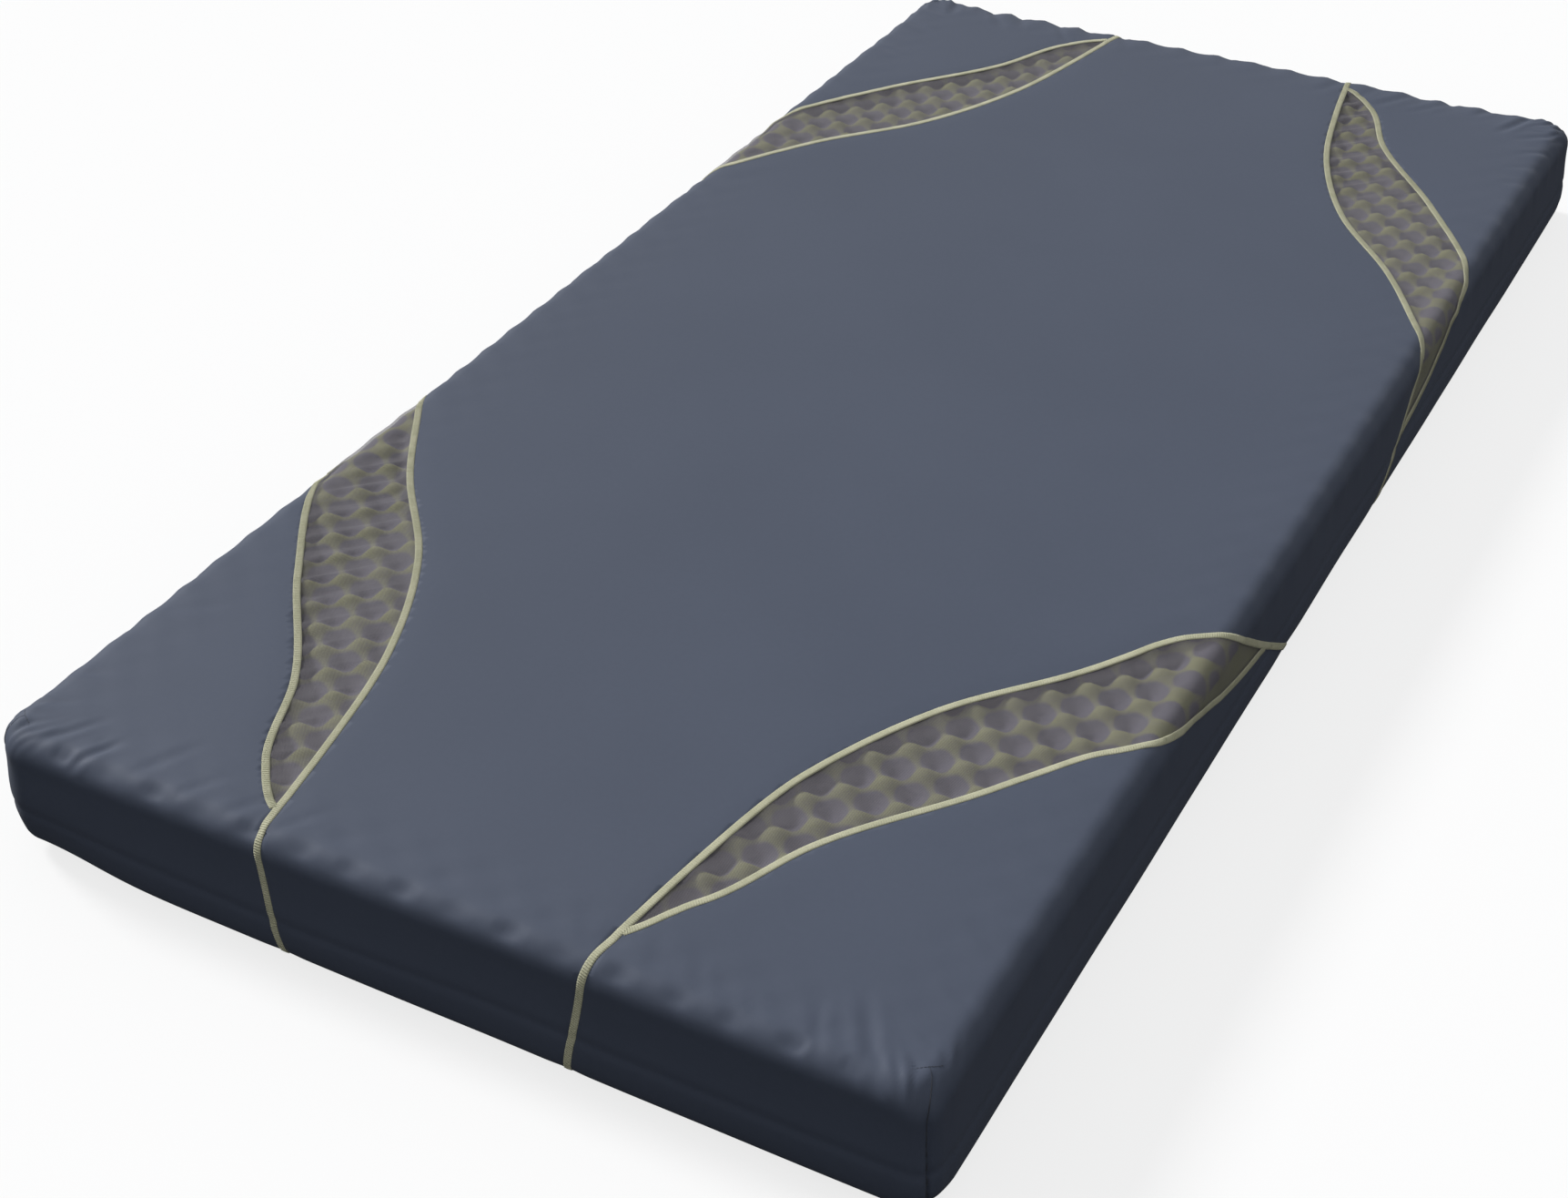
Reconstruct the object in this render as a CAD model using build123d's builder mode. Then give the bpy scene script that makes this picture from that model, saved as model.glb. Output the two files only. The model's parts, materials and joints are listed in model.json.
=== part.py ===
"""Pressure relief foam mattress: two foam layers in a sewn stretch cover with four mesh leaves, flat seam tapes,
a grip base and a zip across the head end.

Frame, in millimetres: X across the width, Y along the length with the head end at +Y, Z up. The origin is the
centre of the face that the mattress lies on.
"""

import os

from build123d import *

os.makedirs("parts", exist_ok=True)

# Driving dimensions: a 36 by 75 by 5 inch mattress.
width = 914.0
length = 1905.0
height = 127.0
corner_round = 40.0  # vertical corners, seen from above
edge_round = 22.0  # along the top and the bottom edges
base_foam_height = 50.0
fabric = 1.6  # thickness of every cover panel
foam_gap = 0.2  # between the cover and the foam

# Sewn trim that lies on the cover.
tape_width = 8.0
tape_proud = 0.8
dart_width = 3.0
dart_bar = 28.0
dart_inward = 14.0  # from the centre of a corner's round to the dart's cross bar
base_seam_height = 6.0
base_seam_width = 3.0

# Zip across the head end, in a window in that face.
zip_half_length = 405.0
zip_height = 40.0  # its centre line above the floor
zip_tape_width = 12.0
zip_tape_thickness = 1.2
tooth_row_width = 3.0
tooth_row_proud = 1.0
tooth_row_depth = 2.8
chain_gap = 0.6  # from the centre line to each row of teeth, where the slider's neck runs
zip_clearance = 0.4
zip_neck_clearance = 0.15
zip_relief_width = 18.0
zip_relief_depth = 2.4
stop_length = 4.0
slider_length = 15.0
slider_plate = 1.3
slider_corner = 2.5
slider_edge = 0.4
slider_start = 18.0  # from the closed end of the zip to the slider's centre
crown_length = 7.0
crown_width = 2.4
crown_bar = 1.2
crown_opening = 2.2
pull_length = 30.0
pull_width = 9.0
pull_thickness = 1.6
pull_pin_radius = 0.7
pull_arm = 1.5  # width of each arm
pull_arm_length = 6.0

half_width = width / 2
half_length = length / 2
head_face = half_length
below_floor = -12.0
above_top = height + 12.0
far_x = half_width + 80.0
far_y = half_length + 80.0

# The middle of the round along an edge, where the outlines seen from above and from the side meet.
edge_x = half_width - edge_round * (1 - 0.5**0.5)
edge_z = height - edge_round * (1 - 0.5**0.5)
long_seam_edge_y = 303.0
short_seam_edge_y = 475.0

# The seams of the quarter at the head end and the right. The other three quarters are its mirror images.
# Seen from above (X, Y). Both run on past the cover's edges, where the mitre planes cut them.
long_seam_top = [
    (156, 975),
    (180, 830),
    (213, 690),
    (276, 555),
    (366, 442),
    (edge_x, long_seam_edge_y),
    (480, 240),
]
short_seam_top = [
    (140, 925),
    (170, 912),
    (213, 868),
    (262, 765),
    (363, 628),
    (edge_x, short_seam_edge_y),
    (480, 400),
]
# Seen from the side (Y, Z).
long_seam_side = [
    (330, above_top),
    (long_seam_edge_y, edge_z),
    (225, 66),
    (110, 0),
    (88, below_floor),
]
short_seam_side = [
    (530, above_top),
    (short_seam_edge_y, edge_z),
    (404, 103),
    (330, 80),
    (217, 60),
    (150, 52),
]
# Seen from the head end (X, Z): a straight line.
long_seam_head = [(163, above_top), (140, below_floor)]

side_mitre = Plane(origin=(half_width, 0, height), x_dir=(0, 1, 0), z_dir=(-1, 0, 1))
head_mitre = Plane(origin=(0, half_length, height), x_dir=(1, 0, 0), z_dir=(0, -1, 1))
prism_depth = 80.0
prism_proud = 20.0
from_above = Plane.XY.offset(height + prism_proud - prism_depth)
from_side = Plane.YZ.offset(half_width + prism_proud - prism_depth)
from_head = Plane.XZ.offset(-(half_length + prism_proud - prism_depth))


def save(piece, name):
    """Labels a finished piece and writes it as one STEP file."""
    piece.part.label = name
    export_step(piece.part, f"parts/{name}.step")


def rounded_slab(inset, bottom, top, bottom_round, top_round):
    """A closed slab with round corners, inset from the outside of the cover. A round of 0 leaves a sharp edge."""
    with BuildPart() as slab:
        with BuildSketch(Plane.XY.offset(bottom)):
            RectangleRounded(width - 2 * inset, length - 2 * inset, corner_round - inset)
        extrude(amount=top - bottom)
        if top_round:
            fillet(slab.edges().group_by(Axis.Z)[-1], top_round)
        if bottom_round:
            fillet(slab.edges().group_by(Axis.Z)[0], bottom_round)
    return slab.part


def box_between(low, high):
    """A box between two corners."""
    middle = tuple((high[i] + low[i]) / 2 for i in range(3))
    with BuildPart() as box:
        with Locations(middle):
            Box(high[0] - low[0], high[1] - low[1], high[2] - low[2])
    return box.part


def beyond_seam(plane, seam, corners, smooth=True):
    """The area between a seam and straight lines through the corners given."""
    with BuildSketch(plane) as area:
        with BuildLine():
            if smooth:
                Spline(*seam)
            else:
                Polyline(*seam)
            Polyline(seam[-1], *corners, seam[0])
        make_face()
    return area.sketch


def seam_band(plane, seam, smooth=True):
    """A band of the tape's width along a seam."""
    with BuildSketch(plane) as band:
        with BuildLine():
            if smooth:
                Spline(*seam)
            else:
                Polyline(*seam)
        trace(line_width=tape_width)
    return band.sketch


def joined_prisms(top_area, side_area, head_area):
    """One region of the quarter from up to three areas, drawn from above, from the side and from the head end, that
    meet on the mitre planes."""
    with BuildPart() as top_prism:
        extrude(top_area, amount=prism_depth)
        split(bisect_by=side_mitre, keep=Keep.TOP)
        split(bisect_by=head_mitre, keep=Keep.TOP)
    with BuildPart() as side_prism:
        extrude(side_area, amount=prism_depth)
        split(bisect_by=side_mitre, keep=Keep.BOTTOM)
    prisms = [top_prism.part, side_prism.part]
    if head_area:
        with BuildPart() as head_prism:
            extrude(head_area, amount=-prism_depth)
            split(bisect_by=head_mitre, keep=Keep.BOTTOM)
        prisms.append(head_prism.part)
    with BuildPart() as region:
        for prism in prisms:
            add(prism)
    return region.part


outside_long = joined_prisms(
    beyond_seam(from_above, long_seam_top, [(far_x, 240), (far_x, far_y), (156, far_y)]),
    beyond_seam(from_side, long_seam_side, [(far_y, below_floor), (far_y, above_top)]),
    beyond_seam(from_head, long_seam_head, [(far_x, below_floor), (far_x, above_top)], smooth=False),
)
outside_short = joined_prisms(
    beyond_seam(from_above, short_seam_top, [(far_x, 400), (far_x, far_y), (140, far_y)]),
    beyond_seam(from_side, short_seam_side, [(88, below_floor), (far_y, below_floor), (far_y, above_top)]),
    beyond_seam(
        from_head, [(100, above_top), (100, below_floor)], [(far_x, below_floor), (far_x, above_top)], smooth=False
    ),
)
long_band = joined_prisms(
    seam_band(from_above, long_seam_top),
    seam_band(from_side, long_seam_side),
    seam_band(from_head, long_seam_head, smooth=False),
)
short_band = joined_prisms(
    seam_band(from_above, short_seam_top),
    seam_band(from_side, short_seam_side),
    None,
)

# The cover as one closed skin, and the thin layer on it that holds the sewn trim.
cover_outside = rounded_slab(0, 0, height, edge_round, edge_round)
cover_inside = rounded_slab(fabric, fabric, height - fabric, edge_round - fabric, edge_round - fabric)
trim_outside = rounded_slab(
    -tape_proud, -tape_proud, height + tape_proud, edge_round + tape_proud, edge_round + tape_proud
)
with BuildPart() as cover_skin:
    add(cover_outside)
    add(cover_inside, mode=Mode.SUBTRACT)
with BuildPart() as trim_skin:
    add(trim_outside)
    add(cover_outside, mode=Mode.SUBTRACT)

# The zip's window in the head face, and the base panel's facing below it.
window_low = zip_height - chain_gap - tooth_row_width - zip_tape_width
window_high = zip_height + chain_gap + tooth_row_width + zip_tape_width
zip_tape_middle = chain_gap + tooth_row_width + zip_tape_width / 2
tooth_row_middle = chain_gap + tooth_row_width / 2
tooth_middle = head_face + tooth_row_proud - tooth_row_depth / 2
zip_zone = box_between((-zip_half_length, head_face - 60, -20), (zip_half_length, head_face + 20, window_high))
facing_zone = box_between((-zip_half_length, head_face - 60, -20), (zip_half_length, head_face + 20, window_low))
base_zone = box_between((-far_x, -far_y, -20), (far_x, far_y, base_seam_height))
base_seam_zone = box_between((-far_x, -far_y, -20), (far_x, far_y, base_seam_height + base_seam_width / 2))

# Foam layers.
foam_inset = fabric + foam_gap
with BuildPart() as foam_base:
    add(rounded_slab(foam_inset, foam_inset, base_foam_height, edge_round - foam_inset, 0))
    with Locations((0, head_face - foam_inset, zip_height)):
        Box(2 * zip_half_length, 2 * zip_relief_depth, zip_relief_width, mode=Mode.SUBTRACT)
save(foam_base, "foam_base")

with BuildPart() as foam_top:
    add(rounded_slab(foam_inset, base_foam_height, height - foam_inset, 0, edge_round - foam_inset))
save(foam_top, "foam_top")

# Cover panels and tapes of the four quarters.
quarters = {
    "head_right": [],
    "head_left": [Plane.YZ],
    "foot_right": [Plane.XZ],
    "foot_left": [Plane.YZ, Plane.XZ],
}


def in_quarter(region, mirrors):
    """The region moved to another quarter by mirroring it."""
    for plane in mirrors:
        region = region.mirror(plane)
    return region


corner_centre = (half_width - corner_round, half_length - corner_round)
corner_plane = Plane(
    origin=(*corner_centre, base_seam_height + base_seam_width / 2), x_dir=(1, 1, 0), z_dir=(0, 0, 1)
)
with BuildPart() as dart_region:
    with BuildSketch(corner_plane):
        with Locations((dart_inward, 0)):
            Rectangle(70, dart_width, align=(Align.MIN, Align.CENTER))
    extrude(amount=height)
    with BuildSketch(Plane(origin=(*corner_centre, height - 10), x_dir=(1, 1, 0), z_dir=(0, 0, 1))):
        with Locations((dart_inward, 0)):
            Rectangle(dart_width, dart_bar, align=(Align.MAX, Align.CENTER))
    extrude(amount=20)

for place, mirrors in quarters.items():
    beyond_long = in_quarter(outside_long, mirrors)
    beyond_short = in_quarter(outside_short, mirrors)
    on_long = in_quarter(long_band, mirrors)
    on_short = in_quarter(short_band, mirrors)

    with BuildPart() as corner_panel:
        add(cover_skin.part)
        add(beyond_long, mode=Mode.INTERSECT)
        add(beyond_short, mode=Mode.INTERSECT)
        add(base_zone, mode=Mode.SUBTRACT)
        add(zip_zone, mode=Mode.SUBTRACT)
    save(corner_panel, f"corner_panel_{place}")

    with BuildPart() as mesh_panel:
        add(cover_skin.part)
        add(beyond_long, mode=Mode.INTERSECT)
        add(beyond_short, mode=Mode.SUBTRACT)
    save(mesh_panel, f"mesh_panel_{place}")

    with BuildPart() as long_tape:
        add(trim_skin.part)
        add(on_long, mode=Mode.INTERSECT)
        add(base_seam_zone, mode=Mode.SUBTRACT)
        add(zip_zone, mode=Mode.SUBTRACT)
    save(long_tape, f"long_tape_{place}")

    with BuildPart() as short_tape:
        add(trim_skin.part)
        add(on_short, mode=Mode.INTERSECT)
        add(beyond_long, mode=Mode.INTERSECT)
        add(on_long, mode=Mode.SUBTRACT)
    save(short_tape, f"short_tape_{place}")

    with BuildPart() as corner_seam:
        add(trim_skin.part)
        add(in_quarter(dart_region.part, mirrors), mode=Mode.INTERSECT)
    save(corner_seam, f"corner_seam_{place}")

with BuildPart() as centre_panel:
    add(cover_skin.part)
    for mirrors in quarters.values():
        add(in_quarter(outside_long, mirrors), mode=Mode.SUBTRACT)
    add(base_zone, mode=Mode.SUBTRACT)
    add(zip_zone, mode=Mode.SUBTRACT)
save(centre_panel, "centre_panel")

# The grip base, with the facing that rises to the zip at the head end, and the seam around it.
with BuildPart() as below_base_seam:
    add(base_zone)
    add(facing_zone)
with BuildPart() as base_panel:
    add(cover_skin.part)
    add(below_base_seam.part, mode=Mode.INTERSECT)
save(base_panel, "base_panel")

with BuildPart() as base_seam:
    add(trim_skin.part)
    add(
        box_between(
            (-far_x, -far_y, base_seam_height - base_seam_width / 2),
            (far_x, far_y, base_seam_height + base_seam_width / 2),
        ),
        mode=Mode.INTERSECT,
    )
    add(zip_zone, mode=Mode.SUBTRACT)
save(base_seam, "base_seam")

# Zip: two tapes in the window, two rows of teeth and a stop at each end.
tape_face = head_face - (fabric - zip_tape_thickness) / 2
for name, side in (("upper", 1), ("lower", -1)):
    with BuildPart() as zip_tape:
        with Locations((0, tape_face - zip_tape_thickness / 2, zip_height + side * zip_tape_middle)):
            Box(2 * zip_half_length, zip_tape_thickness, zip_tape_width)
    save(zip_tape, f"zip_tape_{name}")

    with BuildPart() as zip_teeth:
        with Locations((0, tooth_middle, zip_height + side * tooth_row_middle)):
            Box(2 * (zip_half_length - stop_length), tooth_row_depth, tooth_row_width)
    save(zip_teeth, f"zip_teeth_{name}")

for name, side in (("closed", -1), ("open", 1)):
    with BuildPart() as zip_stop:
        with Locations((side * (zip_half_length - stop_length / 2), tooth_middle, zip_height)):
            Box(stop_length, tooth_row_depth, 2 * (chain_gap + tooth_row_width))
        fillet(zip_stop.edges().filter_by(Axis.X).group_by(Axis.Y)[-1], 0.8)
    save(zip_stop, f"zip_stop_{name}")

# Slider: an outer and an inner plate that a neck joins between the rows of teeth, with flanges outside the teeth and
# a crown for the pull.
slider_x = -(zip_half_length - slider_start)
outer_plate_low = tooth_middle + tooth_row_depth / 2 + zip_clearance
outer_plate_high = outer_plate_low + slider_plate
inner_plate_high = tooth_middle - tooth_row_depth / 2 - zip_clearance
flange_low = tape_face + zip_clearance
half_slider = chain_gap + tooth_row_width + zip_clearance + slider_plate
crown_plane = Plane.XY.offset(zip_height - crown_width / 2)
with BuildPart() as zip_slider:
    with BuildSketch(Plane.XZ.offset(-outer_plate_low)):
        with Locations((slider_x, zip_height)):
            RectangleRounded(slider_length, 2 * half_slider, slider_corner)
    extrude(amount=-slider_plate)
    fillet(zip_slider.faces().sort_by(Axis.Y)[-1].edges(), slider_edge)
    with BuildSketch(Plane.XZ.offset(-inner_plate_high)):
        with Locations((slider_x, zip_height)):
            RectangleRounded(slider_length, 2 * half_slider, slider_corner)
    extrude(amount=slider_plate)
    with Locations((slider_x - slider_length * 0.3, (outer_plate_low + inner_plate_high) / 2, zip_height)):
        Box(4, outer_plate_low - inner_plate_high, 2 * (chain_gap - zip_neck_clearance))
    for side in (1, -1):
        with Locations(
            (
                slider_x,
                (outer_plate_low + flange_low) / 2,
                zip_height + side * (half_slider - slider_plate / 2),
            )
        ):
            Box(slider_length * 0.6, outer_plate_low - flange_low, slider_plate)
    with BuildSketch(crown_plane):
        with Locations((slider_x, outer_plate_high)):
            Rectangle(crown_length, crown_opening + crown_bar, align=(Align.CENTER, Align.MIN))
            Rectangle(
                crown_length - 2 * crown_bar, crown_opening, align=(Align.CENTER, Align.MIN), mode=Mode.SUBTRACT
            )
    extrude(amount=crown_width)
save(zip_slider, "zip_slider")

# Pull: a pin through the crown, two arms beside it, and a tab that lies flat either way along the zip.
pin_y = outer_plate_high + crown_opening / 2
arm_z = crown_width / 2 + zip_clearance + pull_arm / 2
with BuildPart() as zip_pull:
    with Locations((slider_x, pin_y, zip_height)):
        Cylinder(pull_pin_radius, 2 * arm_z)
    for side in (1, -1):
        with Locations((slider_x - pull_arm_length / 2, pin_y, zip_height + side * arm_z)):
            Box(pull_arm_length + 2 * pull_pin_radius, pull_thickness, pull_arm)
    with BuildSketch(Plane.XZ.offset(-(pin_y - pull_thickness / 2))):
        with Locations((slider_x - pull_arm_length, zip_height)):
            RectangleRounded(pull_length - pull_arm_length, pull_width, 3, align=(Align.MAX, Align.CENTER))
        with Locations((slider_x - pull_length + 7, zip_height)):
            Circle(2.0, mode=Mode.SUBTRACT)
    extrude(amount=-pull_thickness)
save(zip_pull, "zip_pull")
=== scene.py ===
"""Looks of the pressure relief mattress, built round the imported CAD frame.

Everything is in metres, in the row frame: X across the width, Y along the length with the head at +Y, Z up.
The cover is one surface over a rounded slab. It is laid out on a flat chart (p, q) that starts as the top and
runs on down the sides, so the seams, the scallops and the folds are all written on that chart.
"""

import json
import math

import bpy
import numpy as np
from mathutils import Vector
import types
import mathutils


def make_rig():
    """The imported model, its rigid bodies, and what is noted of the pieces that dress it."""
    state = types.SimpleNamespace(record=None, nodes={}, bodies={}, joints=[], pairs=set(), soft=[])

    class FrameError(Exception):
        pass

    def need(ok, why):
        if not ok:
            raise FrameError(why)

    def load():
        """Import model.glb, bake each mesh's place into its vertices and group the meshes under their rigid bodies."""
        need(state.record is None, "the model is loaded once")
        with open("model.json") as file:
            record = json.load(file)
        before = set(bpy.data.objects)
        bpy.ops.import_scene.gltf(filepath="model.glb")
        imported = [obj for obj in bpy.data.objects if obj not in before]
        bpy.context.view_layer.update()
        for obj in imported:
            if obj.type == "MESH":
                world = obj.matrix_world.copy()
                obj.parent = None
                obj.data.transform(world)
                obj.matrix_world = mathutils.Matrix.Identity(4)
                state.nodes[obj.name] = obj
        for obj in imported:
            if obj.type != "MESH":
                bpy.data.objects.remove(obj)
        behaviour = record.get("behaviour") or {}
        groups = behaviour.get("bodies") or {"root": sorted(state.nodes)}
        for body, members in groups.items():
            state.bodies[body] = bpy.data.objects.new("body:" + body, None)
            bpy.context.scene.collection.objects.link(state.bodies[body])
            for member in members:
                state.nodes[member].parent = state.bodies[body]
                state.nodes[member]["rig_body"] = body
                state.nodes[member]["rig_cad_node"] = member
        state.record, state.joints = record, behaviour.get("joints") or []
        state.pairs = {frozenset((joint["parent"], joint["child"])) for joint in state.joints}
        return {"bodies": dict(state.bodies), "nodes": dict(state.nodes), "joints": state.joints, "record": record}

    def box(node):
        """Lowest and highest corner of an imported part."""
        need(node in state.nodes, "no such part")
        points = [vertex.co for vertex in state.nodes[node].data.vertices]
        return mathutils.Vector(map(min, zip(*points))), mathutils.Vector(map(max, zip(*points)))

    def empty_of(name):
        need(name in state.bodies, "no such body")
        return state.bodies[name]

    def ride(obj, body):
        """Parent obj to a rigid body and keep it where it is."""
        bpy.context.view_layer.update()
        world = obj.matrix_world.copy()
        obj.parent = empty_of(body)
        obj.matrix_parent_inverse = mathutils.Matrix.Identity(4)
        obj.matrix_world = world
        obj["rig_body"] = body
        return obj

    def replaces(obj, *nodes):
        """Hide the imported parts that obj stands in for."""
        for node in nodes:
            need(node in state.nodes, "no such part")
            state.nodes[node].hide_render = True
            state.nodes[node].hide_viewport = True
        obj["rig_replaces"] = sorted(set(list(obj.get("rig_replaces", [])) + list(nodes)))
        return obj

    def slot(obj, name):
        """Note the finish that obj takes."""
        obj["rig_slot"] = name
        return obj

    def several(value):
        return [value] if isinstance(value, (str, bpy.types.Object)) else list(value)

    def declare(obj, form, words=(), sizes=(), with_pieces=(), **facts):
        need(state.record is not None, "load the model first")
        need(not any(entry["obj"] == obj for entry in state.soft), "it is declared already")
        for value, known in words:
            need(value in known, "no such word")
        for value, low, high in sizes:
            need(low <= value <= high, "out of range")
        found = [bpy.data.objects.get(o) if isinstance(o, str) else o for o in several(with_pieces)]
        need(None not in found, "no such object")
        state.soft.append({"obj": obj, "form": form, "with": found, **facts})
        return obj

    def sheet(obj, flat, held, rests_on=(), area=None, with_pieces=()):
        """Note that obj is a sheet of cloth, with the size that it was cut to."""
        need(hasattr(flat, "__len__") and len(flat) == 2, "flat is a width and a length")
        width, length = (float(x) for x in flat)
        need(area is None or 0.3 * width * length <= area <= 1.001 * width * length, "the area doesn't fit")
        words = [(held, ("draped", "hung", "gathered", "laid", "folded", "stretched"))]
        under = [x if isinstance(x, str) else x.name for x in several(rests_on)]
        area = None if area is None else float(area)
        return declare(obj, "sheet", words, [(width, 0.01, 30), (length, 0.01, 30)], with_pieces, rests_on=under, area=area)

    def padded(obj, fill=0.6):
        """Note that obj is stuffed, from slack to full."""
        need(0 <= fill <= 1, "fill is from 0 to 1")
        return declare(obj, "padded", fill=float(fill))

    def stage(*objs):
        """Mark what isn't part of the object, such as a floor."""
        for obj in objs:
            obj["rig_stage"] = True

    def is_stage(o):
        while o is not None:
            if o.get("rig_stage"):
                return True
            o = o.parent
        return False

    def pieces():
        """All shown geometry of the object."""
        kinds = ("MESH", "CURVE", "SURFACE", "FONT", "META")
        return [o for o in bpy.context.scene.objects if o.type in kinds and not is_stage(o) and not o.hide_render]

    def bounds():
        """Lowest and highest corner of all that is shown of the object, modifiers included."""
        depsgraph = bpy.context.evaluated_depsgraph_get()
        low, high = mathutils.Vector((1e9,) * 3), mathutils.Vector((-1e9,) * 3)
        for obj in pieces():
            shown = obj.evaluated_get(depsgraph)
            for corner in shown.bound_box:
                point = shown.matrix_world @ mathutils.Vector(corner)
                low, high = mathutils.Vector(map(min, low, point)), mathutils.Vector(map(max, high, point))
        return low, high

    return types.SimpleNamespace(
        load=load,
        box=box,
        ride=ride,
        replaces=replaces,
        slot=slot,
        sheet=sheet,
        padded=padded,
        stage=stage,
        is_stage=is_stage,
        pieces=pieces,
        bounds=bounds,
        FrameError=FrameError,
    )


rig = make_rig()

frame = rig.load()
cad_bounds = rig.bounds()

MM = 0.001

# Sizes of the slab, from the frame, and its rounds, as in the CAD.
HALF_WIDTH, HALF_LENGTH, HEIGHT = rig.box("centre_panel")[1]
CORNER = 40 * MM
EDGE = 22 * MM
BASE_SEAM_Z = 6 * MM
CORE_X = HALF_WIDTH - CORNER
CORE_Y = HALF_LENGTH - CORNER

# Runs over the cover from the core: the top's flat rim, a round edge, and the wall between the two edges.
FLAT = CORNER - EDGE
ARC = EDGE * math.pi / 2
WALL = HEIGHT - 2 * EDGE
MID_EDGE = FLAT + ARC / 2
BASE_SEAM_RUN = FLAT + ARC + WALL + EDGE * math.asin((EDGE - BASE_SEAM_Z) / EDGE)

# Convoluted foam: peaks on a diamond lattice of this half pitch, with the layer boundary below them.
HALF_PITCH = 25.4 * MM
LATTICE_X = 6.5 * MM
LATTICE_Y = 0.0
FOAM_JOINT_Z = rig.box("foam_base")[1].z
FOAM_DEPTH = 17 * MM
FOAM_GAP = 2.4 * MM

# The zip's window in the head face, from the frame.
ZIP_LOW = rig.box("zip_tape_lower")[0].z
ZIP_HALF, ZIP_FACE_Y, ZIP_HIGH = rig.box("zip_tape_upper")[1]
ZIP_Z = (ZIP_LOW + ZIP_HIGH) / 2

COVER_THICKNESS = 1.2 * MM
TAPE_WIDTH = 8 * MM
THREAD_PITCH = 2.3 * MM

QUARTERS = {
    "head_right": (1, 1),
    "head_left": (-1, 1),
    "foot_right": (1, -1),
    "foot_left": (-1, -1),
}


# --- Numbers and lines ---


def bell(distance, width):
    """1 at no distance, falling to nothing over about twice the width."""
    return np.exp(-((distance / width) ** 2))


def smooth(value):
    """A soft step from 0 at 0 to 1 at 1."""
    value = np.clip(value, 0, 1)
    return value**2 * (3 - 2 * value)


def unit(vectors):
    """The vectors, each with a length of one."""
    return vectors / np.linalg.norm(vectors, axis=1, keepdims=True)


def run_along(line):
    """The distance along a line at each of its points."""
    return np.concatenate([[0], np.cumsum(np.linalg.norm(np.diff(line, axis=0), axis=1))])


def read_along(values, runs, marks):
    """Pairs of values, known at runs along a line, read at other runs."""
    return np.stack([np.interp(marks, runs, values[:, i]) for i in range(2)], axis=-1)


def smooth_line(points, step):
    """Points a step apart along a smooth curve through the points given."""
    points = np.array(points, float)
    knots = run_along(points)
    slopes = np.gradient(points, knots, axis=0, edge_order=1)
    marks = np.linspace(0, knots[-1], int(knots[-1] / (step / 4)) + 1)
    index = np.clip(np.searchsorted(knots, marks, side="right") - 1, 0, len(points) - 2)
    span = (knots[index + 1] - knots[index])[:, None]
    t = (marks - knots[index])[:, None] / span
    line = (
        points[index] * (2 * t**3 - 3 * t**2 + 1)
        + points[index + 1] * (3 * t**2 - 2 * t**3)
        + slopes[index] * span * (t**3 - 2 * t**2 + t)
        + slopes[index + 1] * span * (t**3 - t**2)
    )
    runs = run_along(line)
    return read_along(line, runs, np.linspace(0, runs[-1], max(2, round(runs[-1] / step) + 1)))


def trimmed(line, keep):
    """The stretch of a line whose points pass a test."""
    chosen = np.flatnonzero(keep)
    return line[chosen[0] : chosen[-1] + 1]


def spaced(*parts):
    """One axis of the chart: stretches given as (end, step), from 0, and their mirror image."""
    marks = [np.zeros(1)]
    start = 0.0
    for end, step in parts:
        count = max(1, round((end - start) / step))
        marks.append(np.linspace(start, end, count + 1)[1:])
        start = end
    half = np.concatenate(marks)
    return np.concatenate([-half[:0:-1], half])


# --- The chart and the slab ---


def profile(run):
    """Distance out from the core, height and the normal's parts out and up, at a run over the cover."""
    top_angle = np.clip(run - FLAT, 0, ARC) / EDGE
    down = np.clip(run - FLAT - ARC, 0, WALL)
    low_angle = np.clip(run - FLAT - ARC - WALL, 0, ARC) / EDGE
    under = np.maximum(run - FLAT - 2 * ARC - WALL, 0)
    out = np.minimum(run, FLAT) + EDGE * np.sin(top_angle) - EDGE * (1 - np.cos(low_angle)) - under
    height = HEIGHT - EDGE * (1 - np.cos(top_angle)) - down - EDGE * np.sin(low_angle)
    angle = top_angle + low_angle
    return out, height, np.sin(angle), np.cos(angle)


def run_at(height):
    """The run down the side at which the cover has a height, for heights on the wall."""
    return FLAT + ARC + HEIGHT - EDGE - height


def past_core(p, q):
    """How far chart points lie past the core, across and along. Over the core it is negative."""
    return np.abs(p) - CORE_X, np.abs(q) - CORE_Y


def directions(p, q):
    """For points of the chart: the core's nearest point, the unit direction out of it, and the run."""
    over_x, over_y = (np.maximum(past, 0) for past in past_core(p, q))
    run = np.maximum(over_x, over_y)
    ratio = np.minimum(over_x, over_y) / np.maximum(run, 1e-9)
    angle = np.where(over_x >= over_y, ratio * math.pi / 4, math.pi / 2 - ratio * math.pi / 4)
    core_x = np.clip(p, -CORE_X, CORE_X)
    core_y = np.clip(q, -CORE_Y, CORE_Y)
    return core_x, core_y, np.sign(p) * np.cos(angle), np.sign(q) * np.sin(angle), run


def place(p, q, lift, upside_down=False):
    """Points of the slab at chart points, lifted along the normal. Upside down, the chart starts below."""
    core_x, core_y, along_x, along_y, run = directions(p, q)
    out, height, normal_out, normal_up = profile(run)
    if upside_down:
        height = HEIGHT - height
        normal_up = -normal_up
    far = out + lift * normal_out
    return np.stack([core_x + along_x * far, core_y + along_y * far, height + lift * normal_up], axis=-1)


def chart_normals(p, q):
    """Unit normals of the slab at chart points."""
    _, _, along_x, along_y, run = directions(p, q)
    _, _, normal_out, normal_up = profile(run)
    return np.stack([along_x * normal_out, along_y * normal_out, normal_up], axis=-1)


# --- Seams ---


def side_run(height):
    """The chart's p at a height on the side face."""
    return CORE_X + run_at(height)


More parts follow.
